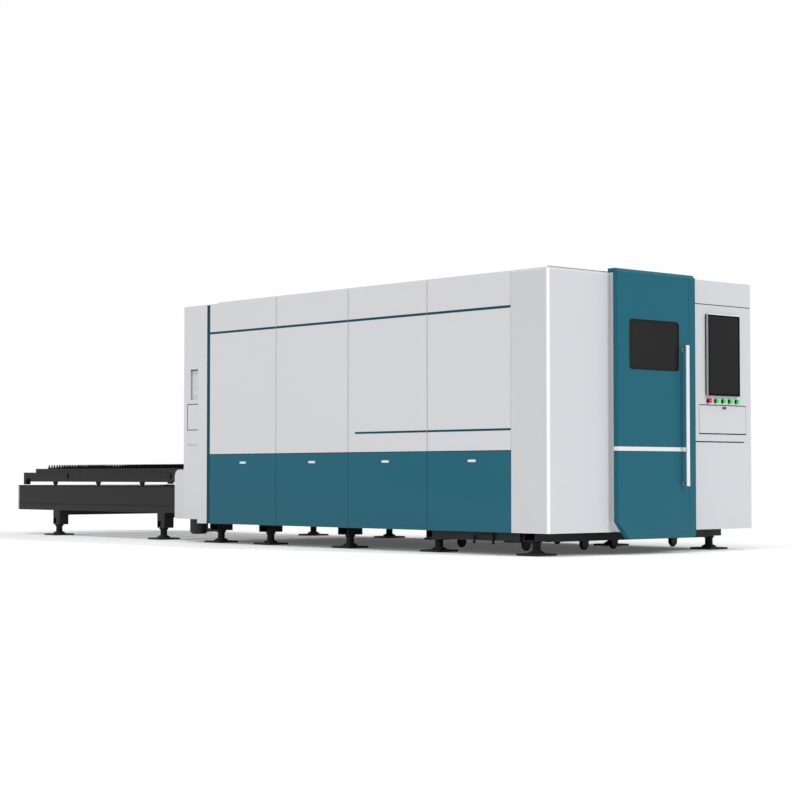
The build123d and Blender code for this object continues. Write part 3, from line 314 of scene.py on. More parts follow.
# Mesh code
class Shape:
    """Collects faces, then becomes one piece that rides on a body."""

    def __init__(self):
        self.verts = []
        self.faces = []

    def add(self, verts, faces):
        base = len(self.verts)
        self.verts += [tuple(v) for v in verts]
        self.faces += [tuple(base + i for i in f) for f in faces]
        return self

    def box(self, x0, x1, y0, y1, z0, z1):
        verts = [(x, y, z) for x in (x0, x1) for y in (y0, y1) for z in (z0, z1)]
        faces = [(0, 1, 3, 2), (4, 6, 7, 5), (0, 4, 5, 1), (2, 3, 7, 6), (0, 2, 6, 4), (1, 5, 7, 3)]
        return self.add(verts, faces)

    def prism(self, outline, axis, lo, hi):
        n = len(outline)
        verts = []
        for w in (lo, hi):
            for a, b in outline:
                verts.append({"x": (w, a, b), "y": (a, w, b), "z": (a, b, w)}[axis])
        faces = [tuple(range(n))[::-1], tuple(range(n, 2 * n))]
        faces += [(i, (i + 1) % n, n + (i + 1) % n, n + i) for i in range(n)]
        return self.add(verts, faces)

    def spin(self, centre, axis, profile, segs=32, phase=0.0):
        """Turned shape: profile is a list of (radius, place along the axis) from one end to the other."""
        cx, cy, cz = centre
        verts, faces, rows = [], [], []
        for r, h in profile:
            row = []
            for k in range(1 if r < 1e-6 else segs):
                a = phase + 2 * math.pi * k / segs
                u, v = r * math.cos(a), r * math.sin(a)
                spot = {
                    "x": (cx + h, cy + u, cz + v),
                    "y": (cx + u, cy + h, cz + v),
                    "z": (cx + u, cy + v, cz + h),
                }[axis]
                row.append(len(verts))
                verts.append(spot)
            rows.append(row)
        for a, b in zip(rows, rows[1:]):
            faces += self.band(a, b, segs)
        faces += [tuple(row) for row in (rows[0], rows[-1]) if len(row) > 1]
        return self.add(verts, faces)

    @staticmethod
    def band(a, b, segs):
        """Faces between two rows of a turned shape, where a row of one point is a tip."""
        if len(a) == 1 and len(b) == 1:
            return []
        steps = [(k, (k + 1) % segs) for k in range(segs)]
        if len(a) == 1:
            return [(a[0], b[k], b[j]) for k, j in steps]
        if len(b) == 1:
            return [(a[k], b[0], a[j]) for k, j in steps]
        return [(a[k], b[k], b[j], a[j]) for k, j in steps]

    def disc(self, centre, axis, radius, h0, h1, segs):
        return self.spin(centre, axis, [(0.0, h0), (radius, h0), (radius, h1), (0.0, h1)], segs)

    def hexagon(self, centre, axis, across, h0, h1, turn=0.0):
        r = across / math.sqrt(3)
        cut = 0.12 * across * 0.4
        profile = [(r * 0.9, h0), (r, h0 + cut), (r, h1 - cut), (r * 0.9, h1)]
        return self.spin(centre, axis, profile, 6, turn)

    def make(self, name, slot, body, bevel=0.0, angle=35.0, smooth=True, segments=2):
        me = bpy.data.meshes.new(name)
        me.from_pydata(self.verts, [], self.faces)
        bm = bmesh.new()
        bm.from_mesh(me)
        bmesh.ops.recalc_face_normals(bm, faces=bm.faces)
        bm.to_mesh(me)
        bm.free()
        me.update()
        ob = bpy.data.objects.new(name, me)
        bpy.context.scene.collection.objects.link(ob)
        me.materials.append(MATS[slot])
        if smooth:
            for p in me.polygons:
                p.use_smooth = True
            me.set_sharp_from_angle(angle=math.radians(angle))
        if bevel:
            mod = ob.modifiers.new("edge", "BEVEL")
            mod.width = bevel
            mod.segments = segments
            mod.limit_method = "ANGLE"
            mod.angle_limit = math.radians(angle)
        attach(ob, body)
        return ob


def rounded(x0, x1, z0, z1, r, steps=6):
    """Rectangle with round corners."""
    points = []
    centres = ((x1 - r, z1 - r, 0), (x0 + r, z1 - r, 90), (x0 + r, z0 + r, 180), (x1 - r, z0 + r, 270))
    for cx, cz, start in centres:
        for i in range(steps + 1):
            a = math.radians(start + 90 * i / steps)
            points.append((cx + r * math.cos(a), cz + r * math.sin(a)))
    return points


def both_sides(y0, y1):
    """The range of y and its mirror, each from its lower to its upper value, the near one first."""
    return [tuple(sorted((side * y0, side * y1))) for side in (-1, 1)]


# Toothed slats in place of the coarser solids
SLAT_COUNT = 30
SLAT_PITCH = 0.100
SLAT_T = 0.005
TEETH = 56
TOOTH_H = 0.034
TOOTH_SHAPE = ((0.14, 0), (0.40, 1), (0.60, 1), (0.86, 0))
ALIGNED_SLATS = 5
ODD_SHIFT = 0.35


def tooth_line(half, low, top, share):
    """Outline of one slat, its teeth shifted by a share of a tooth."""
    step = 2 * half / TEETH
    root = top - TOOTH_H
    line = [(-half, low), (-half, root)]
    for tooth in range(TEETH):
        start = -half + tooth * step + step * share
        for place, rise in TOOTH_SHAPE:
            y = start + step * place
            if y < half - 0.002:
                line.append((y, root + rise * TOOTH_H))
    if line[-1][1] > root + 1e-6:
        line.append((half - 0.001, line[-1][1]))
    return line + [(half, root), (half, low)]


def toothed_slats(name, node, body):
    lo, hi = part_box(node)
    sh = Shape()
    for slat in range(SLAT_COUNT):
        share = ODD_SHIFT if slat % 2 and slat >= ALIGNED_SLATS else 0.0
        x0 = lo[0] + slat * SLAT_PITCH
        sh.prism(tooth_line(hi[1], lo[2], hi[2], share), "x", x0, x0 + SLAT_T)
    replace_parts(sh.make(name, "slat_steel", body, smooth=False), node)


toothed_slats("toothed_slats_upper", "pallet_upper_slats", "pallet_upper")
toothed_slats("toothed_slats_lower", "pallet_lower_slats", "pallet_lower")

# Levelling feet: stepped flange, threaded stud and lock nut under each bracket
FOOT_XS = (-0.408, 0.348, 1.471, 2.611, 3.736)
SHUTTLE_FOOT_XS = (-3.422, -1.498)
FEET = [(x, side * 1.062, 0.116) for x in FOOT_XS for side in (-1, 1)]
FEET += [(x, side * 0.958, 0.114) for x in SHUTTLE_FOOT_XS for side in (-1, 1)]
FLANGE = [(0.061, 0.0172), (0.063, 0.019), (0.063, 0.028), (0.060, 0.031)]
FLANGE += [(0.048, 0.032), (0.048, 0.037), (0.045, 0.039), (0.034, 0.039)]
STUD_R = 0.0325
THREAD_R = 0.0345
THREAD_PITCH = 0.004


def stud(top):
    line = [(0.0, 0.030), (STUD_R, 0.030)]
    z = 0.040
    while z < top - 0.018:
        line += [(STUD_R, z), (THREAD_R, z + 0.0015), (STUD_R, z + 0.003)]
        z += THREAD_PITCH
    return line + [(STUD_R, top - 0.014), (STUD_R, top - 0.003), (0.0, top - 0.003)]


sh = Shape()
for x, y, top in FEET:
    washer = [(0.036, top - 0.020), (0.046, top - 0.013), (0.046, top - 0.011), (0.0, top - 0.011)]
    sh.spin((x, y, 0), "z", FLANGE, 40)
    sh.spin((x, y, 0), "z", stud(top), 28)
    sh.hexagon((x, y, 0), "z", 0.082, top - 0.013, top, 0.26)
    sh.spin((x, y, 0), "z", washer)
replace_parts(sh.make("levelling_feet", "black_frame_paint", "base", angle=28), "foot_spindles")

# Pot under the column: turned body with a rounded foot, laid over the solid
lo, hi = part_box("column_pot")
pot_r = (hi[1] - lo[1]) / 2
pot_side = pot_r - 0.0005
pot_low = lo[2]
POT_TOP = 0.1815
sh = Shape()
line = [(0.0, pot_low), (pot_r - 0.024, pot_low), (pot_r - 0.016, pot_low + 0.003)]
line += [(pot_r - 0.004, pot_low + 0.018), (pot_side, pot_low + 0.026), (pot_side, POT_TOP), (0.0, POT_TOP)]
sh.spin(((lo[0] + hi[0]) / 2, (lo[1] + hi[1]) / 2, 0), "z", line, 56)
sh.make("turned_pot", "black_frame_paint", "base", angle=30)

# Pallet wheels: flanged tread, hub and axle end
WHEEL_XS = (-3.552, -2.722, -1.922, -1.092)
WHEEL_Y = 0.927
WHEEL_R = 0.034
WHEEL_GAP = 0.0003
WHEEL = [(0.0, -0.011), (0.010, -0.011), (0.011, -0.009), (0.024, -0.008), (0.026, -0.0105)]
WHEEL += [(0.0325, -0.0105), (WHEEL_R, -0.009), (WHEEL_R, 0.009), (0.0325, 0.0105)]
WHEEL += [(0.026, 0.0105), (0.024, 0.008), (0.011, 0.009), (0.010, 0.0125), (0.0, 0.0125)]


def wheels(name, node, body, shift, track_z):
    sh = Shape()
    for x in WHEEL_XS:
        for side in (-1, 1):
            sh.spin((x + shift, side * WHEEL_Y, track_z + WHEEL_GAP + WHEEL_R), "y", WHEEL, 36)
    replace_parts(sh.make(name, "black_frame_paint", body, angle=30), node)


wheels("wheels_upper", "pallet_upper_wheels", "pallet_upper", 0.0, 0.529)
wheels("wheels_lower", "pallet_lower_wheels", "pallet_lower", 3.5, 0.276)

# Transport casters: rubber tyre, hub, fork and top plate
CASTERS = [(2.713, -0.900), (3.600, -1.040), (2.713, 0.250), (3.770, -0.550), (3.770, -0.200), (3.770, 0.545)]
TYRE_R = 0.033
CASTER_Z = 0.0665
TYRE = [(0.016, -0.0125), (TYRE_R - 0.0045, -0.0125), (TYRE_R - 0.0015, -0.0115), (TYRE_R, -0.008)]
TYRE += [(TYRE_R, 0.008), (TYRE_R - 0.0015, 0.0115), (TYRE_R - 0.0045, 0.0125), (0.016, 0.0125)]
FORK = [(-0.022, 0.050), (0.022, 0.050), (0.036, 0.066), (0.036, 0.1020), (-0.036, 0.1020), (-0.036, 0.066)]
tyres, hubs = Shape(), Shape()
for x, y in CASTERS:
    centre = (x, y, CASTER_Z)
    fork = [(y + dy, z) for dy, z in FORK]
    tyres.spin(centre, "x", TYRE, 36)
    for side in (-1, 1):
        bolt_lo, bolt_hi = sorted((side * 0.0182, side * 0.0205))
        fork_lo, fork_hi = sorted((x + side * 0.0145, x + side * 0.0182))
        hubs.disc(centre, "x", 0.006, bolt_lo, bolt_hi, 16)
        hubs.prism(fork, "x", fork_lo, fork_hi)
    hubs.disc(centre, "x", 0.0159, -0.0135, 0.0135, 24)
    hubs.box(x - 0.026, x + 0.026, y - 0.038, y + 0.038, 0.1015, 0.1058)
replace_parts(tyres.make("caster_tyres", "seal_rubber", "base"), "caster_wheels")
hubs.make("caster_hubs", "black_frame_paint", "base")

# Door: rounded pull bar on two turned posts, flat band that follows the leaf's chamfer
BAR_Y = 0.240
BAR_HALF = 0.0185
BAR_T = 0.012
BAR_Z = (0.545, 1.697)
POST_ZS = (0.570, 1.660)
BAND_Z = (0.829, 0.862)
bar_x1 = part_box("door_handle")[1][0]
bar_x0 = bar_x1 - BAR_T
leaf_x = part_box("door_leaf")[1][0]
bar = Shape()
bar.prism(rounded(bar_x0, bar_x1, BAR_Y - BAR_HALF, BAR_Y + BAR_HALF, 0.0045, 5), "z", BAR_Z[0], BAR_Z[1])
bar = bar.make("pull_bar", "handle_paint", "sliding_door", angle=50)
post = [(0.0, leaf_x), (0.013, leaf_x), (0.0135, leaf_x + 0.001), (0.0135, leaf_x + 0.005)]
post += [(0.0125, leaf_x + 0.006), (0.0092, leaf_x + 0.0065), (0.0092, bar_x0 - 0.004)]
post += [(0.0115, bar_x0 - 0.0035), (0.0115, bar_x0), (0.0, bar_x0)]
posts = Shape()
for z in POST_ZS:
    posts.spin((0, BAR_Y, z), "x", post, 28)
posts = posts.make("pull_posts", "machined_steel", "sliding_door")
outer = [(leaf_x - 0.049, -0.5484), (leaf_x - 0.0055, -0.5484)]
outer += [(leaf_x + 0.0013, -0.5416), (leaf_x + 0.0013, 0.277)]
inner = [(leaf_x - 0.0002, 0.277), (leaf_x - 0.0002, -0.5408)]
inner += [(leaf_x - 0.0060, -0.5468), (leaf_x - 0.049, -0.5468)]
band = Shape()
band.prism(outer + inner, "z", BAND_Z[0], BAND_Z[1])
band = band.make("door_band", "handle_paint", "sliding_door", bevel=0.0004, segments=1)
for piece in (bar, posts, band):
    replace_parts(piece, "door_handle")

# Latch bars on the lower doors
LATCH_XS = (0.176, 1.176, 2.153, 3.203)
LATCH_HALF = 0.0465
for i, x in enumerate(LATCH_XS):
    sh = Shape()
    sh.prism(rounded(x - LATCH_HALF, x + LATCH_HALF, 0.7395, 0.7605, 0.0102), "y", -1.2578, -1.2526)
    sh.make("latch_%d" % (i + 1), "handle_paint", "lower_door_%d" % (i + 1), bevel=0.0012)

# Push buttons: dark rings, green caps, mushroom stop cap with a dot
BUTTON_Z = 1.258
BUTTON_YS = (0.773, 0.866, 0.956, 1.047)
STOP_Y = 0.674
RING = [(0.0113, 0.0), (0.0178, 0.0), (0.0182, 0.001), (0.0182, 0.004), (0.0170, 0.0055), (0.0160, 0.0155)]
RING += [(0.0150, 0.0165), (0.0113, 0.0165)]
GREEN = [(0.0, 0.005), (0.0109, 0.005), (0.0109, 0.0168), (0.0150, 0.0170), (0.0150, 0.029)]
GREEN += [(0.0142, 0.0312), (0.0120, 0.0325), (0.0, 0.0328)]
STOP = [(0.0, 0.005), (0.0109, 0.005), (0.0109, 0.0212), (0.016, 0.0222), (0.0212, 0.0240)]
STOP += [(0.0222, 0.0262), (0.0218, 0.030), (0.0180, 0.0338), (0.009, 0.0348), (0.0, 0.035)]
DOT = [(0.0, 0.0345), (0.0026, 0.0345), (0.0026, 0.0352), (0.0, 0.0354)]
sh = Shape()
for y in BUTTON_YS + (STOP_Y,):
    sh.spin((FRONT_X, y, BUTTON_Z), "x", RING, 36)
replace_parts(sh.make("button_rings", "black_plastic", "base", angle=30), "button_collars")
for i, y in enumerate(BUTTON_YS):
    button = "start_button_%d" % (i + 1)
    sh = Shape()
    sh.spin((FRONT_X, y, BUTTON_Z), "x", GREEN, 36)
    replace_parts(sh.make("green_cap_%d" % (i + 1), "green_plastic", button, angle=40), button)
sh = Shape()
sh.spin((FRONT_X, STOP_Y, BUTTON_Z), "x", STOP, 44)
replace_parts(sh.make("stop_cap", "red_plastic", "stop_button", angle=40), "stop_button")
sh = Shape()
sh.spin((FRONT_X, STOP_Y, BUTTON_Z), "x", DOT, 20)
sh.make("stop_dot", "handle_paint", "stop_button")

# Lock: turned barrel, key with a flat bow
LOCK = [(0.0, -0.020), (0.0088, -0.020), (0.0088, 0.0008), (0.0105, 0.0012), (0.0105, 0.0030)]
LOCK += [(0.0092, 0.0044), (0.0040, 0.0044), (0.0036, 0.0036), (0.0, 0.0036)]
lo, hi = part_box("lock_barrel")
lock_y, lock_z = (lo[1] + hi[1]) / 2, (lo[2] + hi[2]) / 2
sh = Shape()
sh.spin((FRONT_X, lock_y, lock_z), "x", LOCK, 36)
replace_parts(sh.make("lock_core", "lock_chrome", "lock", angle=30), "lock_barrel")
sh = Shape()
sh.box(FRONT_X - 0.004, FRONT_X + 0.014, lock_y - 0.0011, lock_y + 0.0011, lock_z - 0.0038, lock_z + 0.0038)
bow = rounded(FRONT_X + 0.013, FRONT_X + 0.034, lock_z - 0.012, lock_z + 0.012, 0.006)
sh.prism(bow, "y", lock_y - 0.0012, lock_y + 0.0012)
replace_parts(sh.make("key_blade", "lock_chrome", "lock", bevel=0.0004), "lock_key")

# Keyboard: tray with single keys
KEY_ROWS = 5
KEY_PITCH = 0.0192
TRAY_H = 0.018
PLAIN_ROW = [1] * 22
SPACE_ROW = [1.4, 1.2, 1.2, 6.5, 1.2, 1.2, 1.4] + [1] * 7
lo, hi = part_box("keyboard")
sh = Shape()
sh.prism(rounded(lo[0], hi[0], lo[1], hi[1], 0.008), "z", lo[2], lo[2] + TRAY_H)
row_pitch = (hi[0] - lo[0] - 0.016) / KEY_ROWS
for row in range(KEY_ROWS):
    x0 = lo[0] + 0.008 + row * row_pitch
    y0 = lo[1] + 0.010
    for width in SPACE_ROW if row == KEY_ROWS - 1 else PLAIN_ROW:
        y1 = y0 + width * KEY_PITCH
        if y1 > hi[1] - 0.008:
            break
        sh.box(x0 + 0.0015, x0 + row_pitch - 0.0015, y0 + 0.0012, y1 - 0.0012, lo[2] + TRAY_H, hi[2])
        y0 = y1
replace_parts(sh.make("keyboard_keys", "black_plastic", "drawer", bevel=0.0008, segments=1), "keyboard")

# Cutting head: body with cover screws, collimator rings and stepped nozzle
lo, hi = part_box("cutting_head")
back_x = lo[0]
body_z = lo[2] + 0.115
NOZZLE = [(0.0, 0.0), (0.033, 0.0), (0.033, 0.012), (0.030, 0.014), (0.030, 0.024)]
NOZZLE += [(0.034, 0.026), (0.034, 0.050), (0.028, 0.060), (0.028, 0.078)]
NOZZLE += [(0.020, 0.082), (0.020, 0.098), (0.009, 0.104)]
sh = Shape()
sh.box(back_x, back_x + 0.016, -0.060, 0.060, lo[2] + 0.105, hi[2])
sh.box(back_x + 0.016, back_x + 0.094, -0.048, 0.048, body_z, hi[2] - 0.010)
for dz in (0.02, 0.12, 0.22):
    for dy in (-0.040, 0.040):
        sh.disc((back_x + 0.094, dy, body_z + dz), "x", 0.0035, 0.0, 0.0018, 14)
head = sh.make("head_body", "machined_steel", "head", bevel=0.0015)
sh = Shape()
line = [(r, body_z - drop) for r, drop in NOZZLE] + [(0.0045, lo[2]), (0.0, lo[2])]
sh.spin((back_x + 0.055, 0, 0), "z", line, 40)
nozzle = sh.make("head_nozzle", "machined_steel", "head", angle=30)
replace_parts(head, "cutting_head")
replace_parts(nozzle, "cutting_head")

# Cross shaft with toothed sprockets
SPROCKET_TEETH = 17
SPROCKET_YS = (-0.860, 0.830)
SPROCKET = ((0.0, 0.0545), (0.22, 0.0545), (0.40, 0.0615), (0.60, 0.0615), (0.78, 0.0545))
lo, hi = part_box("drive_shaft")
shaft_x, shaft_z = (lo[0] + hi[0]) / 2, (lo[2] + hi[2]) / 2
sh = Shape()
line = [(0.0, lo[1]), (0.018, lo[1]), (0.019, lo[1] + 0.001)]
line += [(0.019, hi[1] - 0.001), (0.018, hi[1]), (0.0, hi[1])]
sh.spin((shaft_x, 0, shaft_z), "y", line, 28)
for y0 in SPROCKET_YS:
    outline = []
    for tooth in range(SPROCKET_TEETH):
        for share, r in SPROCKET:
            a = 2 * math.pi * (tooth + share) / SPROCKET_TEETH
            outline.append((shaft_x + r * math.cos(a), shaft_z + r * math.sin(a)))
    sh.prism(outline, "y", y0 + 0.003, y0 + 0.011)
    hub = [(0.020, y0), (0.034, y0), (0.034, y0 + 0.014), (0.020, y0 + 0.014)]
    sh.spin((shaft_x, 0, shaft_z), "y", hub, 28)
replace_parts(sh.make("cross_shaft", "machined_steel", "drive_shaft", angle=30), "drive_shaft")

# Column's louvred recess: studs, and a grey side wall that is painted shade
RECESS_X0 = -0.649
RECESS_Z0 = 1.350
RECESS_BACK_Y = -1.2315
RECESS_STUD = [(0.0, -0.0070), (0.0050, -0.0070), (0.0075, -0.0045), (0.0078, 0.0008), (0.0, 0.0008)]
sh = Shape()
for row in range(4):
    for col in range(2):
        x = RECESS_X0 + 0.046 + col * 0.036
        z = RECESS_Z0 + 0.042 + row * 0.068
        sh.spin((x, RECESS_BACK_Y, z), "y", RECESS_STUD, 24)
sh.box(RECESS_X0, -0.6475, NEAR_Y + 0.0005, RECESS_BACK_Y, RECESS_Z0, 1.635)
sh.make("recess_studs_and_shade", "grey_plastic", "base")

# Dark seals in the joints between the near panels
sh = Shape()
for x in SEAM_XS:
    sh.box(x - 0.0020, x + 0.0020, NEAR_Y + 0.0012, NEAR_Y + 0.013, SPLIT_Z, WALL_TOP)
    sh.box(x - 0.0014, x + 0.0014, NEAR_Y + 0.0010, NEAR_Y + 0.013, WALL_BOT, SPLIT_Z)
sh.box(SEAM_XS[0] + 0.002, SEAM_XS[-1] - 0.002, NEAR_Y - 0.0005, NEAR_Y + 0.013, 0.8266, 0.8325)
sh.make("panel_seals", "seal_rubber", "base", smooth=False)

# Seals round the hatch and in the slot line, and a dark strip under the recess's top that is painted shade
HATCH_X0, HATCH_X1 = -0.6905, -0.5275
HATCH_Z0, HATCH_Z1 = 1.0665, 1.3035
HATCH_LINE = 0.007
sh = Shape()
hatch_y = (NEAR_Y - 0.0004, NEAR_Y + 0.003)
sh.box(HATCH_X0 - 0.008, HATCH_X0, *hatch_y, HATCH_Z0 - HATCH_LINE, HATCH_Z1 + HATCH_LINE)
sh.box(HATCH_X0, HATCH_X1, *hatch_y, HATCH_Z1, HATCH_Z1 + HATCH_LINE)
sh.box(HATCH_X0, HATCH_X1, *hatch_y, HATCH_Z0 - HATCH_LINE, HATCH_Z0)
sh.box(HATCH_X0, HATCH_X1, *hatch_y, 0.9170, 0.9190)
sh.box(-0.6475, -0.5290, NEAR_Y + 0.0005, RECESS_BACK_Y, 1.6290, 1.637)
sh.make("column_seals_and_shade", "seal_rubber", "base", smooth=False)

# Seals in the cabinet's two seams and round its drawer, white filler at the lower seam's end
CAB_Y0, CAB_Y1, LOW_SEAM_END = 0.4090, 1.2440, 1.1500
DRAWER_Y0, DRAWER_Y1, DRAWER_Z0, DRAWER_Z1 = 0.562, 1.177, 0.987, 1.219
GAP_W = 0.0038
sh = Shape()
in_seam = (4.0395, 4.0492)
in_gap = (4.0300, 4.0505)
on_face = (4.0500, 4.0514)
sh.box(*in_seam, CAB_Y0, CAB_Y1, 2.0635, 2.0698)
sh.box(*in_seam, CAB_Y0, LOW_SEAM_END, 0.9105, 0.9165)
sh.box(*in_gap, DRAWER_Y0 - GAP_W, DRAWER_Y0 - 0.0003, DRAWER_Z0, DRAWER_Z1 + 0.0035)
sh.box(*in_gap, DRAWER_Y1 + 0.0003, DRAWER_Y1 + GAP_W, DRAWER_Z0, DRAWER_Z1 + 0.0035)
sh.box(*on_face, DRAWER_Y0 - GAP_W, DRAWER_Y1 + GAP_W, DRAWER_Z1 + 0.0003, DRAWER_Z1 + 0.0072)
sh.box(*on_face, DRAWER_Y0 - GAP_W, DRAWER_Y1 + GAP_W, DRAWER_Z0 - 0.0100, DRAWER_Z0 - 0.0010)
sh.box(*on_face, CAB_Y0, LOW_SEAM_END, 0.9092, 0.9104)
sh.box(*on_face, CAB_Y0, LOW_SEAM_END, 0.9168, 0.9190)
sh.make("cabinet_seals", "seal_rubber", "base", smooth=False)
sh = Shape()
sh.box(4.0395, 4.0505, 1.1520, 1.2500, 0.9105, 0.9165)
sh.make("seam_filler", "white_paint", "base")

# Dark line of the door's closing stile
sh = Shape()
sh.box(leaf_x - 0.0028, leaf_x - 0.0005, 0.3197, 0.3223, 0.126, 2.256)
sh.make("stile_seal", "seal_rubber", "sliding_door", smooth=False)

# End of the front wall behind the surround, and a grey strip on the surround's side that is painted shade,
# its pale edges a painted highlight
sh = Shape()
sh.box(4.0300, 4.0507, -0.5428, -0.4550, 0.1825, 0.2750)
sh.make("front_wall_end", "white_paint", "base", bevel=0.0005)
sh = Shape()
sh.box(4.0515, 4.0898, -0.5476, -0.5470, 0.2640, 2.2490)
sh.make("surround_painted_shade", "grey_plastic", "base", smooth=False)

# Plate that closes the roof's notch behind the column's bevel
sh = Shape()
sh.box(-0.3975, -0.3392, -1.2222, -1.0290, 2.2190, 2.2400)
sh.make("notch_plate", slot_of["roof_panel"], "base", bevel=0.0005)

# Slots of the shuttle's foot brackets: lip, and dark liners inside that are painted shade
SLOT_Z = (0.1278, 0.1822)
lips, slot_shade = Shape(), Shape()
for x in SHUTTLE_FOOT_XS:
    slot_x0, slot_x1 = x - 0.0425, x + 0.0100
    sides = zip(both_sides(0.9825, 1.0028), both_sides(0.9825, 0.9840), both_sides(0.9840, 1.0020))
    for lip_y, floor_y, wall_y in sides:
        lips.box(x - 0.0500, slot_x0, *lip_y, *SLOT_Z)
        slot_shade.box(slot_x0, slot_x1, *floor_y, *SLOT_Z)
        slot_shade.box(slot_x0, x - 0.0410, *wall_y, 0.1290, 0.1810)
        slot_shade.box(x - 0.0410, slot_x1, *wall_y, 0.1805, 0.1822)
lips.make("bracket_lips", "black_frame_paint", "base", bevel=0.0008)
slot_shade.make("bracket_slot_shade", "black_plastic", "base", smooth=False)

# Dark top edge and lip line of the tracks
sh = Shape()
for y0, y1 in both_sides(1.0026, 1.0036):
    sh.box(-4.168, -0.764, y0, y1, 0.5165, 0.5288)
    sh.box(-4.168, -0.764, y0, y1, 0.3265, 0.3300)
sh.make("track_lines", "seal_rubber", "base", smooth=False)

# Stop blocks with a bolt on the upper pallet's rails
STOP_XS = (-3.262, -1.392)
STOP_HALF = 0.036
STOP_FACE_Y = 0.9900
sh = Shape()
for x in STOP_XS:
    for side in (-1, 1):
        y0, y1 = sorted((side * 0.9795, side * STOP_FACE_Y))
        sh.box(x - STOP_HALF, x + STOP_HALF, y0, y1, 0.600, 0.652)
        sh.disc((x, side * STOP_FACE_Y, 0.626), "y", 0.009, -0.001, 0.001, 20)
sh.make("rail_stops", "black_frame_paint", "pallet_upper", bevel=0.0012)

# Monitor: black bezel round the pane, a dark strip at the rear of its side that is painted shade, and a pale
# top strip that is a painted highlight
RIM = 0.018
STRIP_H = 0.009
screen_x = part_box("monitor_screen")[1][0]
lo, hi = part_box("monitor_housing")
y0, y1, z0, z1 = lo[1] + 0.0005, hi[1] - 0.0005, lo[2] + 0.0005, hi[2] - STRIP_H
bezel_x = (screen_x + 0.0003, hi[0] + 0.0008)
sh = Shape()
sh.box(*bezel_x, y0, y0 + RIM, z0, z1)
sh.box(*bezel_x, y1 - RIM, y1, z0, z1)
sh.box(*bezel_x, y0 + RIM, y1 - RIM, z0, z0 + RIM)
sh.box(*bezel_x, y0 + RIM, y1 - RIM, z1 - RIM * 0.7, z1)
sh.make("screen_bezel", "black_plastic", "base", bevel=0.0003)
sh = Shape()
sh.box(lo[0] + 0.0005, lo[0] + 0.011, lo[1] - 0.0006, lo[1] + 0.001, lo[2] + 0.008, hi[2] - 0.008)
sh.make("monitor_side_shade", "black_plastic", "base", smooth=False)
sh = Shape()
sh.box(hi[0] - 0.0005, hi[0] + 0.0010, lo[1], hi[1], hi[2] - STRIP_H, hi[2])
sh.make("monitor_top_highlight", "handle_paint", "base", bevel=0.0003)

# Screw head on the cabinet's top panel
SCREW = [(0.0, -0.001), (0.0070, -0.001), (0.0070, 0.0010), (0.0052, 0.0020), (0.0, 0.0022)]
sh = Shape()
sh.spin((FRONT_X, 0.857, 2.240), "x", SCREW, 24)
sh.make("cabinet_screw", "handle_paint", "base")

# Floor: pale and matt, a little brighter for the camera
FLOOR_HALF = 60
FLOOR_TONE = 0.90
FLOOR_GLOW = 0.085
corners = [(-FLOOR_HALF, -FLOOR_HALF, 0), (FLOOR_HALF, -FLOOR_HALF, 0)]
corners += [(FLOOR_HALF, FLOOR_HALF, 0), (-FLOOR_HALF, FLOOR_HALF, 0)]
me = bpy.data.meshes.new("floor")
me.from_pydata(corners, [], [(0, 1, 2, 3)])
floor = bpy.data.objects.new("floor", me)
bpy.context.scene.collection.objects.link(floor)
mat = bpy.data.materials.new("floor")
mat.use_nodes = True
nt = mat.node_tree
nt.nodes.clear()
out = nt.nodes.new("ShaderNodeOutputMaterial")
matt = nt.nodes.new("ShaderNodeBsdfDiffuse")
matt.inputs[0].default_value = (FLOOR_TONE, FLOOR_TONE, FLOOR_TONE, 1)
glow = nt.nodes.new("ShaderNodeEmission")
glow.inputs[0].default_value = (1, 1, 1, 1)
path = nt.nodes.new("ShaderNodeLightPath")
strength = nt.nodes.new("ShaderNodeMath")
strength.operation = "MULTIPLY"
strength.inputs[1].default_value = FLOOR_GLOW
nt.links.new(path.outputs["Is Camera Ray"], strength.inputs[0])
nt.links.new(strength.outputs[0], glow.inputs[1])
both = nt.nodes.new("ShaderNodeAddShader")
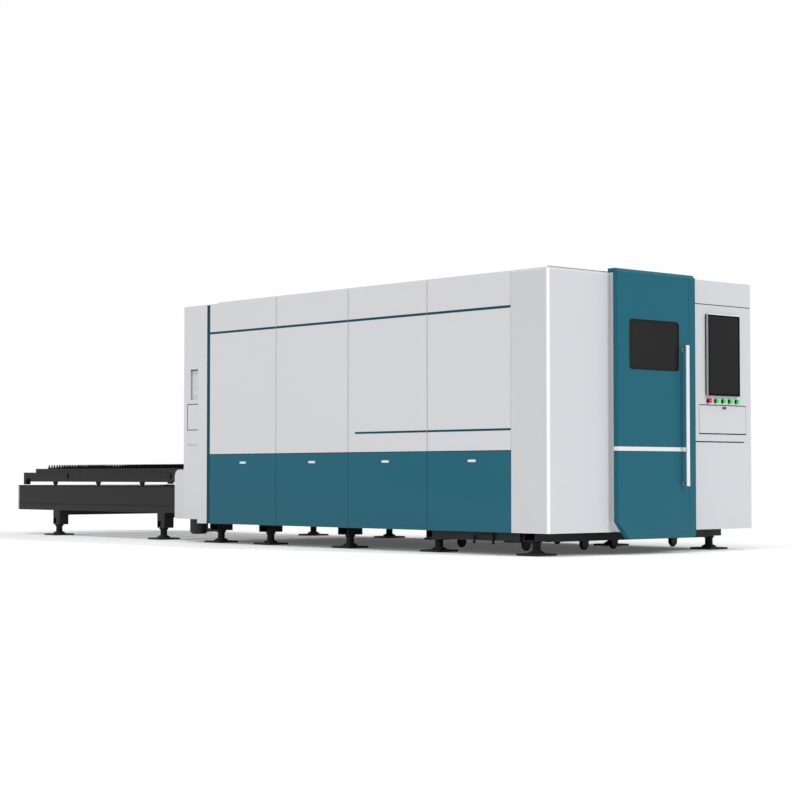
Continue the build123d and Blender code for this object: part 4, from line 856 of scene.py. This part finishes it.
nt.links.new(matt.outputs[0], both.inputs[0])
nt.links.new(glow.outputs[0], both.inputs[1])
nt.links.new(both.outputs[0], out.inputs[0])
me.materials.append(mat)

# World: white for the camera, soft pale light for the object
WORLD_STRENGTH = 0.50
world = bpy.data.worlds.new("studio")
bpy.context.scene.world = world
world.use_nodes = True
nt = world.node_tree
nt.nodes.clear()
out = nt.nodes.new("ShaderNodeOutputWorld")
light = nt.nodes.new("ShaderNodeBackground")
light.inputs[0].default_value = (0.97, 0.98, 1.0, 1)
light.inputs[1].default_value = WORLD_STRENGTH
white = nt.nodes.new("ShaderNodeBackground")
white.inputs[0].default_value = (1, 1, 1, 1)
white.inputs[1].default_value = 1.0
path = nt.nodes.new("ShaderNodeLightPath")
mix = nt.nodes.new("ShaderNodeMixShader")
nt.links.new(path.outputs["Is Camera Ray"], mix.inputs[0])
nt.links.new(light.outputs[0], mix.inputs[1])
nt.links.new(white.outputs[0], mix.inputs[2])
nt.links.new(mix.outputs[0], out.inputs[0])


# Lights
def sun(name, direction, strength, spread):
    li = bpy.data.lights.new(name, "SUN")
    li.energy = strength
    li.angle = math.radians(spread)
    ob = bpy.data.objects.new(name, li)
    bpy.context.scene.collection.objects.link(ob)
    ob.location = (0, 0, 9)
    ob.rotation_euler = Vector(direction).to_track_quat("-Z", "Y").to_euler()


sun("top_softbox", (-0.15, 0.20, -0.95), 1.15, 40)
sun("end_key", (-0.82, -0.21, -0.54), 1.1, 4)
sun("side_fill", (0.0, 0.80, -0.35), 0.60, 30)

# Camera, fitted to the straight edges of the photograph
cam = bpy.data.cameras.new("camera")
cam.sensor_width = 36.0
cam.sensor_fit = "HORIZONTAL"
cam.lens = 88.16
cam.clip_end = 200
camera = bpy.data.objects.new("camera", cam)
bpy.context.scene.collection.objects.link(camera)
camera.location = (14.5432, -12.1959, 0.6320)
camera.rotation_euler = (math.radians(92.207), 0, math.radians(48.125))
bpy.context.scene.camera = camera
bpy.context.scene.view_settings.view_transform = "Standard"

bpy.context.view_layer.update()
